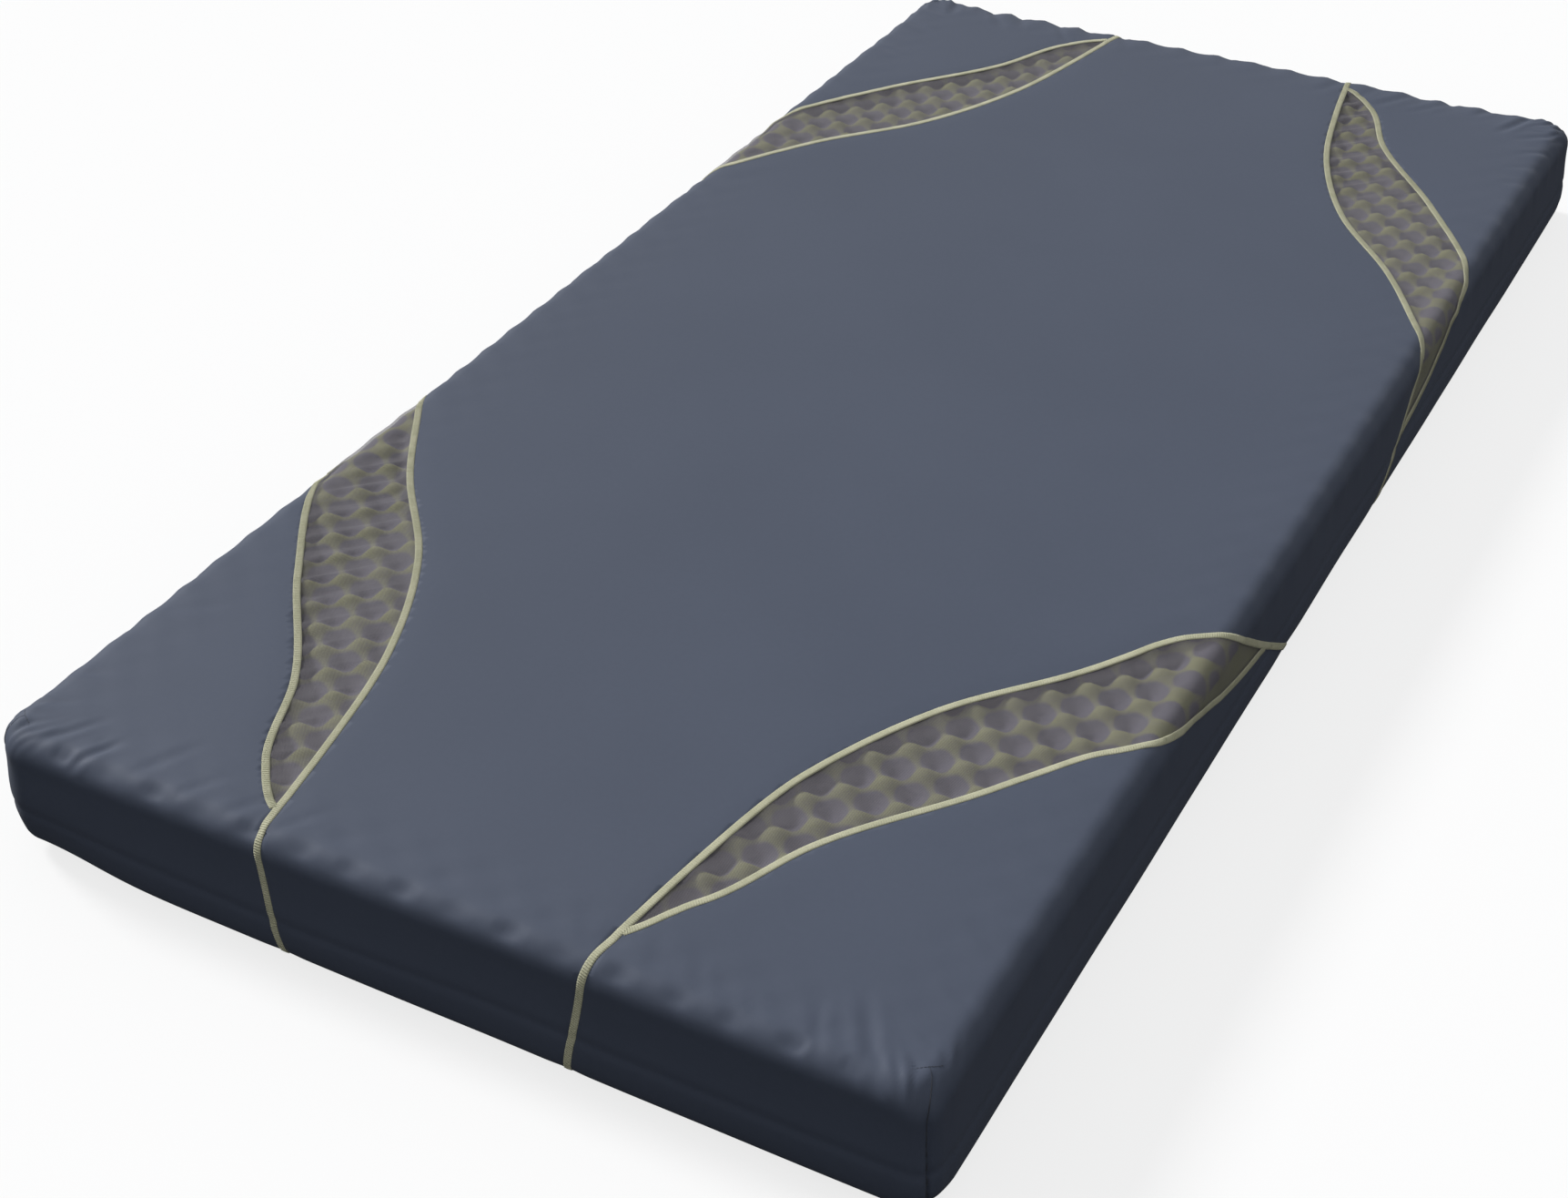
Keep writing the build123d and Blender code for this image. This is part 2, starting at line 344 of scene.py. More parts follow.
def head_run(height):
    """The chart's q at a height on the head face."""
    return CORE_Y + run_at(height)


# The long and the short seam of one quarter on the chart, from the end face round to the side face.
LONG_SEAM = [
    (0.1405, head_run(0.012)),
    (0.1560, head_run(0.090)),
    (0.1610, CORE_Y + MID_EDGE),
    (0.1660, 0.915),
    (0.1800, 0.830),
    (0.2130, 0.690),
    (0.2760, 0.555),
    (0.3660, 0.442),
    (CORE_X + MID_EDGE, 0.303),
    (side_run(0.066), 0.225),
    (side_run(0.000), 0.125),
]
SHORT_SEAM = [
    (0.1400, 0.925),
    (0.1700, 0.912),
    (0.2130, 0.868),
    (0.2620, 0.765),
    (0.3630, 0.628),
    (CORE_X + MID_EDGE, 0.475),
    (side_run(0.103), 0.404),
    (side_run(0.080), 0.330),
    (side_run(0.060), 0.217),
    (side_run(0.052), 0.150),
]

# The raster of distances to a seam: its step, where it starts, and how far it goes past the base seam.
RASTER = 4 * MM
RASTER_START = -0.02
RASTER_MARGIN = 0.03
RASTER_BATCH = 4000

# The cloth at the foot's right leaf lies off its place by this much, between these distances across.
LAY_SHIFT = (14 * MM, 24 * MM)
LAY_STARTS = 0.135
LAY_RISE = 0.065
LAY_ENDS = 0.470
LAY_FALL = 0.080


def raster_of(line):
    """The signed distance to a seam, positive on the corner's side, on an even raster of one quarter."""
    x = np.arange(RASTER_START, CORE_X + BASE_SEAM_RUN + RASTER_MARGIN, RASTER)
    y = np.arange(RASTER_START, CORE_Y + BASE_SEAM_RUN + RASTER_MARGIN, RASTER)
    spots = np.stack(np.meshgrid(x, y, indexing="ij"), axis=-1).reshape(-1, 2)
    start = line[:-1]
    along = np.diff(line, axis=0)
    size = (along**2).sum(1)
    signed = np.empty(len(spots))
    for first in range(0, len(spots), RASTER_BATCH):
        gap = spots[first : first + RASTER_BATCH, None, :] - start[None]
        t = np.clip((gap * along).sum(2) / size, 0, 1)
        distance = np.linalg.norm(gap - t[..., None] * along, axis=2)
        near = distance.argmin(1)
        rows = np.arange(len(near))
        side = along[near, 0] * gap[rows, near, 1] - along[near, 1] * gap[rows, near, 0]
        signed[first : first + RASTER_BATCH] = distance[rows, near] * np.where(side >= 0, 1, -1)
    return signed.reshape(len(x), len(y))


def lay_shift(across):
    """How far the foot's right leaf lies off its place, towards the middle, by distance across."""
    share = smooth((across - LAY_STARTS) / LAY_RISE) * smooth((LAY_ENDS - across) / LAY_FALL)
    return LAY_SHIFT[0] * share, LAY_SHIFT[1] * share


def read_raster(raster, p, q):
    """The signed distance at chart points, by the two planes of symmetry and the foot's right shift."""
    off_x, off_y = lay_shift(np.abs(p))
    moved = (p > 0) & (q < 0)
    x = np.clip((np.abs(p) + off_x * moved - RASTER_START) / RASTER, 0, raster.shape[0] - 1.001)
    y = np.clip((np.abs(q) + off_y * moved - RASTER_START) / RASTER, 0, raster.shape[1] - 1.001)
    i, j = x.astype(int), y.astype(int)
    u, v = x - i, y - j
    return (
        raster[i, j] * (1 - u) * (1 - v)
        + raster[i + 1, j] * u * (1 - v)
        + raster[i, j + 1] * (1 - u) * v
        + raster[i + 1, j + 1] * u * v
    )


def laid(line, sign_x, sign_y):
    """A seam line where the cloth really lies: off its place at the foot's right leaf."""
    if (sign_x, sign_y) != (1, -1):
        return line
    moved = line
    for _ in range(6):
        moved = line - np.stack(lay_shift(moved[:, 0]), axis=-1)
    return moved


long_raster = raster_of(smooth_line(LONG_SEAM, RASTER))
short_raster = raster_of(smooth_line(SHORT_SEAM, RASTER))


# --- Relief of the cover ---

# Scallops between the foam's peaks: the first peak along each kind of side, how deep the cloth sags there in
# millimetres, and how far in over the top and down the wall the scallops reach from the middle of the edge.
SIDE_PEAK = 15 * MM
HEAD_PEAK = 30 * MM
SIDE_SAG = 1.9
HEAD_SAG = 4.2
HEAD_CORNER_SAG = 3.2
HEAD_RIGHT_LESS = 1.2
FOOT_SAG = 0.6
SCALLOP_IN = 0.026
SCALLOP_DOWN = 0.030

# At the foot the cloth dips into two rows of pits: each row's place past the core, depth in millimetres, reach.
FOOT_DIPS = ((30 * MM, 2.5, 0.011), (2 * MM, 0.5, 0.010))

# The walls: slow waves, the crease at the foam's joint, the bulge low down and how they draw in at the base.
WALL_WAVE = 0.7 * MM
WALL_WAVELENGTH = 0.42
JOINT_CREASE = 1.0 * MM
JOINT_WIDTH = 4.5 * MM
JOINT_WAVE = 3 * MM
JOINT_WAVELENGTH = 0.9
BULGE = 5 * MM
FOOT_BULGE = 1.45
BULGE_Z = 0.032
BULGE_REACH = 0.042
DRAW_IN = 1.2 * MM
DRAW_IN_Z = 0.030
ZIP_MARGIN = 0.06

# Corners: the dart's groove on the top and below it in millimetres, the round of the tighter corners, how far
# all corners and the right-hand ones take it up, the ripples round the dart, and the foot's left corner's tuck.
GROOVE_TOP = 0.3
GROOVE_BELOW = 2.4
GROOVE_WIDTH = 2.2 * MM
TIGHT_CORNER = 20 * MM
CORNER_SHARE = 0.38
RIGHT_SHARE = 0.47
RIPPLE_REACH = 0.034
TUCK = 10 * MM
TUCK_Z = 0.080
TUCK_REACH = 0.085

# The seams pull the cloth down a little under the tapes.
SEAM_DIP = 0.7 * MM
SEAM_DIP_REACH = 13 * MM

# How strong the folds are at each corner.
FOLD_STRENGTH = {(-1, -1): 1.0, (1, 1): 1.1, (1, -1): 0.7, (-1, 1): 1.2}

# Folds along the ends (axis 0) and the sides (axis 1) near each corner: how many, how far past the core's
# corner they begin, their pitch, the ranges of their reach, lean and depth in millimetres, how much shallower
# each is than the last, and the range of their width in millimetres.
EDGE_FOLDS = (
    (0, 6, 0.012, 2 * HALF_PITCH * 0.98, (0.055, 0.095), (0.15, 0.55), (1.0, 2.0), 0.11, (4.5, 7)),
    (1, 4, 0.010, 2 * HALF_PITCH, (0.05, 0.085), (0.15, 0.6), (0.6, 1.3), 0.15, (4, 6.5)),
)
FOLD_RIM = 0.045

# Fine pulls at a corner: where each starts and ends, in millimetres past the core's corner, and its depth.
CORNER_PULLS = (
    (30, 40, 8, 6, 1.3),
    (38, 32, 22, -6, 1.2),
    (22, 44, -12, 4, 1.0),
    (42, 20, 16, -30, 1.0),
    (12, 44, -30, 2, 0.8),
    (44, 4, 24, -46, 0.7),
)
PULL_WIDTH = 3.4 * MM

# How the mesh leaves hang, in millimetres: between the foam's peaks, and in rippled folds where pulled.
MESH_SAG = 2.6
MESH_FOLD = 5.2
MESH_RIPPLE = 0.8

rng = np.random.default_rng(11)
BUMP_SIZES = rng.uniform(0.65, 1.25, 96)
rng.uniform(size=96)  # A stretch of the random row is passed over, so that the draws below keep their values.
WOBBLE = rng.uniform(0, 2 * math.pi, (4, 5))


class Spots:
    """Chart points, with what the parts of the relief need to know of where they lie."""

    def __init__(self, p, q):
        self.p = p
        self.q = q
        self.past_x, self.past_y = past_core(p, q)
        _, _, along_x, along_y, self.run = directions(p, q)
        self.corner_angle = np.arctan2(np.abs(along_y), np.abs(along_x))
        self.height = profile(self.run)[1]
        self.inward = np.maximum(self.past_x, self.past_y)
        self.on_side = self.past_x > self.past_y
        self.at_head = ~self.on_side & (q > 0)
        self.at_foot = ~self.on_side & (q < 0)
        self.along = np.where(self.on_side, q, p)
        self.straight = np.clip(-np.minimum(self.past_x, self.past_y) / 0.03, 0, 1)


def pit(x, y):
    """0 on a foam peak, 1 at the bottom of a pit, a half on the saddles between."""
    across = np.cos(math.pi * (x - LATTICE_X) / HALF_PITCH)
    return (1 + across * np.cos(math.pi * (y - LATTICE_Y) / HALF_PITCH)) / 2


def sag(along, first_peak):
    """Sag of the cloth between foam peaks two half pitches apart: 0 on a peak and about 1 midway."""
    turns = (along - first_peak) / (2 * HALF_PITCH)
    nearest = np.rint(turns)
    index = nearest.astype(int) % len(BUMP_SIZES)
    away = np.clip(np.abs(turns - nearest) * 2, 0, 1)
    tent = 1 - (1 - np.sqrt(away**2 + 0.018)) ** 2
    return tent * BUMP_SIZES[index]


def wobble(along, row, wavelength):
    """A slow irregular wave between about -1 and 1."""
    total = 0
    for k in range(5):
        turns = along * (1 + 0.37 * k) / wavelength
        total = total + np.sin(2 * math.pi * turns + WOBBLE[row, k]) / (1 + 0.5 * k)
    return total / 2.4


def crease(p, q, start, end, width, depth):
    """A fold that is deepest in the middle of its length, between two chart points."""
    ax, ay = end[0] - start[0], end[1] - start[1]
    size = math.hypot(ax, ay)
    t = ((p - start[0]) * ax + (q - start[1]) * ay) / size**2
    across = ((p - start[0]) * ay - (q - start[1]) * ax) / size
    fade = np.clip(1 - (2 * t - 1) ** 2, 0, 1) ** 1.5
    return -depth * fade * (bell(across, width) - 0.55 * bell(np.abs(across) - 1.7 * width, width))


def edge_creases():
    """Folds that run in from the edges near the corners, and the pulls there: (start, end, width, depth)."""
    core = (CORE_X, CORE_Y)
    folds = []

    def add(signs, start, end, width, depth):
        ends = [(signs[0] * x, signs[1] * y) for x, y in (start, end)]
        folds.append((*ends, width, depth))

    for signs, strength in FOLD_STRENGTH.items():
        for axis, count, first, pitch, reaches, leans, depths, fade, widths in EDGE_FOLDS:
            rim = core[1 - axis] + FOLD_RIM
            for k in range(count):
                middle = core[axis] + first - (k + 0.5) * pitch
                reach = rng.uniform(*reaches)
                lean = rng.uniform(*leans)
                depth = strength * rng.uniform(*depths) * MM * (1 - fade * k)
                width = rng.uniform(*widths) * MM
                ends = [(middle + 0.010, rim), (middle - lean * reach, rim - reach)]
                if axis == 1:
                    ends = [end[::-1] for end in ends]
                add(signs, *ends, width, depth)
        for start_x, start_y, end_x, end_y, depth in CORNER_PULLS:
            start = (CORE_X + start_x * MM, CORE_Y + start_y * MM)
            end = (CORE_X + end_x * MM, CORE_Y + end_y * MM)
            add(signs, start, end, PULL_WIDTH, strength * depth * MM)
    return folds


EDGE_CREASES = edge_creases()


def corner_push(angle):
    """How far a corner with a tighter round stands past the slab's own, by the direction from the core."""
    from_side = np.minimum(angle, math.pi / 2 - angle)
    reach = CORNER - TIGHT_CORNER
    middle = reach * math.sqrt(2)
    turned = math.pi / 4 - from_side
    square = CORNER / np.cos(from_side)
    aside = middle * np.sin(turned)
    rounded = middle * np.cos(turned) + np.sqrt(np.maximum(TIGHT_CORNER**2 - aside**2, 0))
    return np.where(from_side < math.atan2(reach, CORNER), square, rounded) - CORNER


def corner_tuck(p, q, height):
    """The low part of the foot's left corner, which the base pulls under."""
    beyond = np.minimum(np.minimum(*past_core(p, q)), 0)
    return -TUCK * bell(beyond, TUCK_REACH) * smooth((TUCK_Z - height) / TUCK_Z) * (p < 0) * (q < 0)


def edge_relief(at):
    """The scallops of the edge between the foam's peaks, and the top's last rows of peaks and pits."""
    p, inward = at.p, at.inward
    pits = pit(p, at.q)
    first_peak = np.where(at.on_side, SIDE_PEAK, np.where(at.at_head, HEAD_PEAK, LATTICE_X))
    to_corner = smooth((np.abs(p) - 0.10) / 0.30)
    head_size = HEAD_SAG + (HEAD_CORNER_SAG - HEAD_RIGHT_LESS * np.sign(p)) * to_corner
    size = np.where(at.on_side, SIDE_SAG, np.where(at.at_head, head_size, FOOT_SAG)) * MM
    weight = bell(inward - MID_EDGE, np.where(inward < MID_EDGE, SCALLOP_IN, SCALLOP_DOWN))
    total = -size * (sag(at.along, first_peak) * at.straight) * weight

    dip = smooth((pits - 0.52) / 0.36) * at.straight * at.at_foot
    uneven = 0.75 + 0.35 * np.sin(p * 71 + 2)
    total -= uneven * dip * MM * sum(depth * bell(inward - row, reach) for row, depth, reach in FOOT_DIPS)

    # The cloth is pulled tight over the last row of peaks on the top.
    return total - 0.5 * MM * pits * bell(inward + 0.012, 0.03) * at.straight


def wall_relief(at):
    """Foam joint round the sides, slow waves in the walls, and the bulge low down, except at the zip."""
    height = at.height
    row = np.where(at.on_side, np.where(at.p > 0, 0, 1), np.where(at.q > 0, 2, 3))
    waves = np.choose(row, [wobble(at.along, k, WALL_WAVELENGTH) for k in range(4)])
    joint_waves = np.choose(row, [wobble(at.along + 0.31, k, JOINT_WAVELENGTH) for k in range(4)])
    joint_z = FOAM_JOINT_Z + JOINT_WAVE * joint_waves
    total = -JOINT_CREASE * bell(height - joint_z, JOINT_WIDTH) * (at.inward > FLAT + ARC * 0.8)
    total += WALL_WAVE * waves
    by_zip = at.at_head * smooth((ZIP_HALF + ZIP_MARGIN - np.abs(at.p)) / ZIP_MARGIN)
    bulge = np.where(at.at_foot, FOOT_BULGE, 1.0) * BULGE * bell(height - BULGE_Z, BULGE_REACH) * (1 - by_zip)
    total += bulge * smooth((height - 0.6 * BASE_SEAM_Z) / 0.012)
    total -= DRAW_IN * smooth((DRAW_IN_Z - height) / DRAW_IN_Z) * (0.5 + 0.5 * waves)
    return total * np.clip((at.inward - FLAT - 0.02) / 0.03, 0, 1)


def corner_relief(at):
    """Corners: the dart's groove, the tighter round below the top, and ripples that fan out of the dart."""
    over_x, over_y = np.maximum(at.past_x, 0), np.maximum(at.past_y, 0)
    side_share = np.where(at.run > 0, (over_x - over_y) / np.maximum(at.run, 1e-9), 1)
    both = np.clip(np.minimum(over_x, over_y) / 0.006, 0, 1)
    groove = (GROOVE_TOP + GROOVE_BELOW * smooth((HEIGHT - 0.012 - at.height) / 0.02)) * MM
    total = -groove * bell(side_share * at.run * 0.5, GROOVE_WIDTH) * both
    below_top = smooth((HEIGHT - 0.004 - at.height) / 0.024) * smooth((at.height - BASE_SEAM_Z) / 0.022)
    total += (CORNER_SHARE + RIGHT_SHARE * np.sign(at.p)) * corner_push(at.corner_angle) * below_top
    fan = np.arctan2(at.past_y + 0.02, at.past_x + 0.02)
    ripples = np.sin(13 * fan + 0.9 * np.sign(at.p) + 2.1 * np.sign(at.q)) * np.sin(5 * fan + 0.4)
    return total + MM * ripples * bell(np.hypot(at.past_x - 0.022, at.past_y - 0.022), RIPPLE_REACH)


def relief(p, q):
    """How far the cover stands from the slab at chart points, and the signed distance to each seam."""
    at = Spots(p, q)
    long_gap = read_raster(long_raster, p, q)
    short_gap = read_raster(short_raster, p, q)
    total = edge_relief(at) + wall_relief(at) + corner_relief(at) + corner_tuck(p, q, at.height)
    for fold in EDGE_CREASES:
        total += crease(p, q, *fold)
    total -= SEAM_DIP * bell(long_gap, SEAM_DIP_REACH)
    total -= SEAM_DIP * bell(short_gap, SEAM_DIP_REACH) * smooth(long_gap / 0.012)
    return total, long_gap, short_gap


def mesh_relief(p, q, long_gap, short_gap):
    """The mesh leaves' own relief: they hang between the foam's peaks, with pulled folds in two of them."""
    inside = np.clip(np.minimum(long_gap, -short_gap) / 0.012, 0, 1)
    over_foam = np.clip((FLAT - np.maximum(*past_core(p, q))) / 0.02, 0, 1)
    hung = MESH_SAG * pit(p, q) ** 0.8
    # Where the mesh was pulled, it hangs in folds that run from peak to peak along the foam's diagonals.
    pulled = np.where(p < 0, (q < 0) * 1.0, (q > 0) * smooth((q - 0.56) / 0.10))
    diagonal = (p - LATTICE_X) - (q - LATTICE_Y)
    uneven = 0.8 + 0.35 * np.sin(p * 47 + q * 13)
    folded = MESH_FOLD * np.abs(np.cos(math.pi * diagonal / (2 * HALF_PITCH))) * uneven
    folded += MESH_RIPPLE * np.sin(math.pi * diagonal / (0.37 * HALF_PITCH) + 2 * np.sin(q * 40))
    return -MM * (hung + (folded - hung) * pulled) * inside * over_foam


def cover(p, q, lift=0.0):
    """Points of the finished cover at chart points, a little above it if asked."""
    return place(p, q, relief(p, q)[0] + lift)


# --- Materials ---


def is_socket(value):
    return hasattr(value, "is_linked")


def add_node(tree, kind, inputs=None, **settings):
    """A shader node with its settings made, and its inputs linked to sockets or set to numbers."""
    node = tree.nodes.new("ShaderNode" + kind)
    for name, setting in settings.items():
        setattr(node, name, setting)
    for key, value in (inputs or {}).items():
        connect(tree, node.inputs[key], value)
    return node


def connect(tree, socket, value):
    if is_socket(value):
        tree.links.new(value, socket)
    else:
        socket.default_value = value


class Shader:
    """A short way to write a node material."""

    def __init__(self, name):
        self.material = bpy.data.materials.new(name)
        self.material.use_nodes = True
        self.tree = self.material.node_tree
        self.tree.nodes.clear()
        self.surface = self.node("BsdfPrincipled")
        self.output = self.node("OutputMaterial", {"Surface": self.surface.outputs[0]})

    def node(self, kind, inputs=None, **settings):
        return add_node(self.tree, kind, inputs, **settings)

    def set(self, **values):
        for key, value in values.items():
            name = key.replace("_", " ").title().replace("Ior", "IOR")
            connect(self.tree, self.surface.inputs[name], value)

    def math(self, operation, a, b=0.0, c=0.0):
        return self.node("Math", {0: a, 1: b, 2: c}, operation=operation).outputs[0]

    def weighted(self, first, first_share, second, second_share):
        return self.math("MULTIPLY_ADD", first, first_share, self.math("MULTIPLY", second, second_share))

    def wave(self, coordinate, pitch, shift=0.0):
        """A wave from 0 to 1 with a pitch in metres and a shift in radians."""
        turns = self.math("MULTIPLY_ADD", coordinate, 2 * math.pi / pitch, shift)
        return self.math("MULTIPLY_ADD", self.math("SINE", turns), 0.5, 0.5)

    def parts(self, where):
        return self.node("SeparateXYZ", {0: where}).outputs

    def chart(self):
        """The chart coordinates, in metres, and the two of them apart."""
        where = self.node("UVMap", uv_map="chart").outputs[0]
        u, v, _ = self.parts(where)
        return where, u, v

    def object_space(self):
        return self.node("TexCoord").outputs["Object"]

    def noise(self, where, scale, detail=2.0, roughness=0.5):
        inputs = {"Vector": where, "Scale": scale, "Detail": detail, "Roughness": roughness}
        return self.node("TexNoise", inputs).outputs["Fac"]

    def blend(self, factor, first, second):
        first, second = (c if is_socket(c) else (*c, 1.0) for c in (first, second))
        return self.node("Mix", {"Factor": factor, 6: first, 7: second}, data_type="RGBA").outputs[2]

    def remap(self, value, low, high, to_low=0.0, to_high=1.0):
        """A soft step between two numbers as the value goes from low to high."""
        inputs = {"Value": value, "From Min": low, "From Max": high, "To Min": to_low, "To Max": to_high}
        return self.node("MapRange", inputs, interpolation_type="SMOOTHSTEP").outputs[0]

    def bump(self, height, distance, strength=1.0):
        inputs = {"Height": height, "Distance": distance, "Strength": strength}
        self.set(normal=self.node("Bump", inputs).outputs[0])


def stretch_knit(name, dark, light):
    """Smooth stretch knit: fine wales and courses, with slow changes of tone."""
    shader = Shader(name)
    where, u, v = shader.chart()
    wale = shader.wave(u, 1.1 * MM)
    course = shader.wave(v, 0.9 * MM, shader.math("MULTIPLY", wale, 2.2))
    stitch = shader.weighted(course, 0.45, wale, 0.55)
    slow = shader.noise(where, 3.5, 3.0, 0.55)
    fine = shader.noise(where, 160.0)
    tone = shader.math("MULTIPLY_ADD", stitch, 0.2, shader.weighted(slow, 0.55, fine, 0.25))
    shader.set(
        base_color=shader.blend(shader.remap(tone, 0.25, 0.75), dark, light),
        roughness=0.66,
        sheen_weight=0.05,
        sheen_roughness=0.45,
        specular_ior_level=0.20,
    )
    shader.bump(stitch, 0.10 * MM, 0.35)
    return shader.material


def see_through_mesh(name, dark, light):
    """Fine warp-knitted mesh: rows of small holes between threads, each row half a hole off the last."""
    shader = Shader(name)
    where, u, v = shader.chart()
    row = shader.wave(v, 1.6 * MM)
    stagger = shader.math("MULTIPLY", shader.math("GREATER_THAN", row, 0.5), math.pi)
    column = shader.wave(u, 1.4 * MM, stagger)
    cell = shader.math("ABSOLUTE", shader.math("MULTIPLY_ADD", row, 2.0, -1.0))
    hole = shader.math("MULTIPLY", column, cell)
    cloudy = shader.noise(where, 26.0, 3.0)
    cover_share = shader.math("ADD", shader.remap(hole, 0.22, 0.55, 0.70, 0.18), -0.08)
    shader.set(
        base_color=shader.blend(cloudy, dark, light),
        roughness=0.62,
        sheen_weight=0.25,
        sheen_roughness=0.4,
        specular_ior_level=0.35,
        alpha=shader.math("MULTIPLY_ADD", cloudy, 0.16, cover_share),
    )
    shader.bump(hole, 0.15 * MM, 0.3)
    return shader.material


def foam(name, dark, light, pits=None):
    """Open-cell foam with fine pores. On a convoluted cut the pits may take a painted shade: a darker colour laid into
    them that stands in for the shade deep in the pits under the mesh.
    """
    shader = Shader(name)
    where = shader.object_space()
    pores = shader.noise(where, 900.0, 2.0, 0.6)
    tone = shader.weighted(pores, 0.5, shader.noise(where, 14.0), 0.5)
    colour = shader.blend(shader.remap(tone, 0.3, 0.7), dark, light)
    # Painted shade: on the top, the pits take the given darker colour towards their bottoms, standing in for the shade
    # that falls there under the mesh.
    if pits is not None:
        x, y, z = shader.parts(where)
        waves = []
        for axis, shift in ((x, LATTICE_X), (y, LATTICE_Y)):
            turns = shader.math("MULTIPLY_ADD", axis, math.pi / HALF_PITCH, -shift * math.pi / HALF_PITCH)
            waves.append(shader.math("COSINE", turns))
        inside = shader.math("MULTIPLY", *waves)
        for wave in waves:
            inside = shader.math("MULTIPLY_ADD", shader.math("MULTIPLY", wave, wave), 0.3, inside)
        on_top = shader.remap(z, HEIGHT - EDGE - 3 * MM, HEIGHT - EDGE + 1 * MM)
        painted_pit_shade = shader.math("MULTIPLY", shader.remap(inside, -0.12, 0.22), on_top)
        colour = shader.blend(painted_pit_shade, colour, pits)
    shader.set(base_color=colour, roughness=0.95, specular_ior_level=0.1)
    shader.bump(pores, 0.4 * MM, 0.6)
    return shader.material


def thread(name, dark, light):
    """Twisted thread: fine slanting plies and soft sheen."""
    shader = Shader(name)
    where = shader.object_space()
    x, y, z = shader.parts(where)
    slant = shader.math("MULTIPLY_ADD", z, 1.4, shader.math("ADD", x, y))
    ply = shader.wave(slant, 0.55 * MM)
    tone = shader.weighted(ply, 0.35, shader.noise(where, 60.0), 0.65)
    shader.set(
        base_color=shader.blend(shader.remap(tone, 0.2, 0.8), dark, light),
        roughness=0.7,
        sheen_weight=0.2,
        specular_ior_level=0.3,
    )
    shader.bump(ply, 0.12 * MM, 0.5)
    return shader.material


def grip_fabric(name, dark, light):
    """Coated fabric of the base: a plain weave under a matt coat."""
    shader = Shader(name)
    where, u, v = shader.chart()
    weave = shader.math("MULTIPLY", shader.wave(u, 1.4 * MM), shader.wave(v, 1.4 * MM))
    tone = shader.weighted(weave, 0.35, shader.noise(where, 6.0, 3.0), 0.65)
    shader.set(base_color=shader.blend(tone, dark, light), roughness=0.75, specular_ior_level=0.3)
    shader.bump(weave, 0.2 * MM, 0.5)
    return shader.material


def woven_tape(name, dark, light):
    """Zip tape: herringbone ribs along its length."""
    shader = Shader(name)
    _, u, v = shader.chart()
    zigzag = shader.math("PINGPONG", v, 1.2 * MM)
    rib = shader.wave(shader.math("MULTIPLY_ADD", zigzag, 1.2, u), 0.8 * MM)
    shader.set(
        base_color=shader.blend(rib, dark, light),
        roughness=0.8,
        sheen_weight=0.15,
        specular_ior_level=0.25,
    )
    shader.bump(rib, 0.2 * MM, 0.6)
    return shader.material


def moulded(name, dark, light, grain, roughness, depth):
    """Rubber or nylon from a mould: a fine grain that changes its tone and its shine a little."""
    shader = Shader(name)
    slow = shader.noise(shader.object_space(), grain)
    shader.set(base_color=shader.blend(slow, dark, light), roughness=shader.remap(slow, 0.3, 0.7, *roughness))
    shader.bump(slow, depth, 0.3)
    return shader.material


def enamelled_metal(name, enamel, bare):
    """Dark enamel on die-cast metal, worn a little through to grey."""
    shader = Shader(name)
    slow = shader.noise(shader.object_space(), 420.0, 4.0, 0.6)
    shader.set(
        base_color=shader.blend(shader.remap(slow, 0.62, 0.74), enamel, bare),
        metallic=shader.remap(slow, 0.60, 0.74, 0.35, 0.9),
        roughness=shader.remap(slow, 0.3, 0.75, 0.30, 0.48),
    )
    shader.bump(slow, 0.05 * MM, 0.25)
    return shader.material


# What each material slot is made of: most have one material, and the base has its dots' rubber too.
FINISHES = {
    "cover_fabric": [stretch_knit("cover knit", (0.050, 0.061, 0.090), (0.057, 0.069, 0.101))],
    "mesh_fabric": [see_through_mesh("leaf mesh", (0.088, 0.082, 0.092), (0.122, 0.113, 0.126))],
    # The top foam's third colour is painted shade: the darker lilac-grey of its pits, which stands in for the shade
    # there under the mesh.
    "top_foam": [foam("convoluted foam", (0.32, 0.32, 0.16), (0.42, 0.42, 0.22), (0.20, 0.19, 0.235))],
    "base_foam": [foam("base foam", (0.62, 0.60, 0.52), (0.74, 0.72, 0.64))],
    "seam_tape": [thread("tape thread", (0.31, 0.31, 0.20), (0.46, 0.45, 0.32))],
    "dark_thread": [thread("dark thread", (0.012, 0.014, 0.020), (0.035, 0.040, 0.055))],
    "grip_fabric": [
        grip_fabric("grip base", (0.022, 0.025, 0.033), (0.045, 0.050, 0.062)),
        moulded("grip dots", (0.016, 0.017, 0.020), (0.030, 0.031, 0.036), 300.0, (0.5, 0.65), 0.1 * MM),
    ],
    "zip_tape": [woven_tape("zip tape", (0.014, 0.016, 0.021), (0.038, 0.042, 0.052))],
    "zip_coil": [
        moulded("zip coil", (0.016, 0.018, 0.023), (0.030, 0.033, 0.040), 250.0, (0.32, 0.45), 0.05 * MM),
    ],
}
metal_material = enamelled_metal("zip metal", (0.045, 0.050, 0.060), (0.20, 0.20, 0.21))


# --- Meshes ---


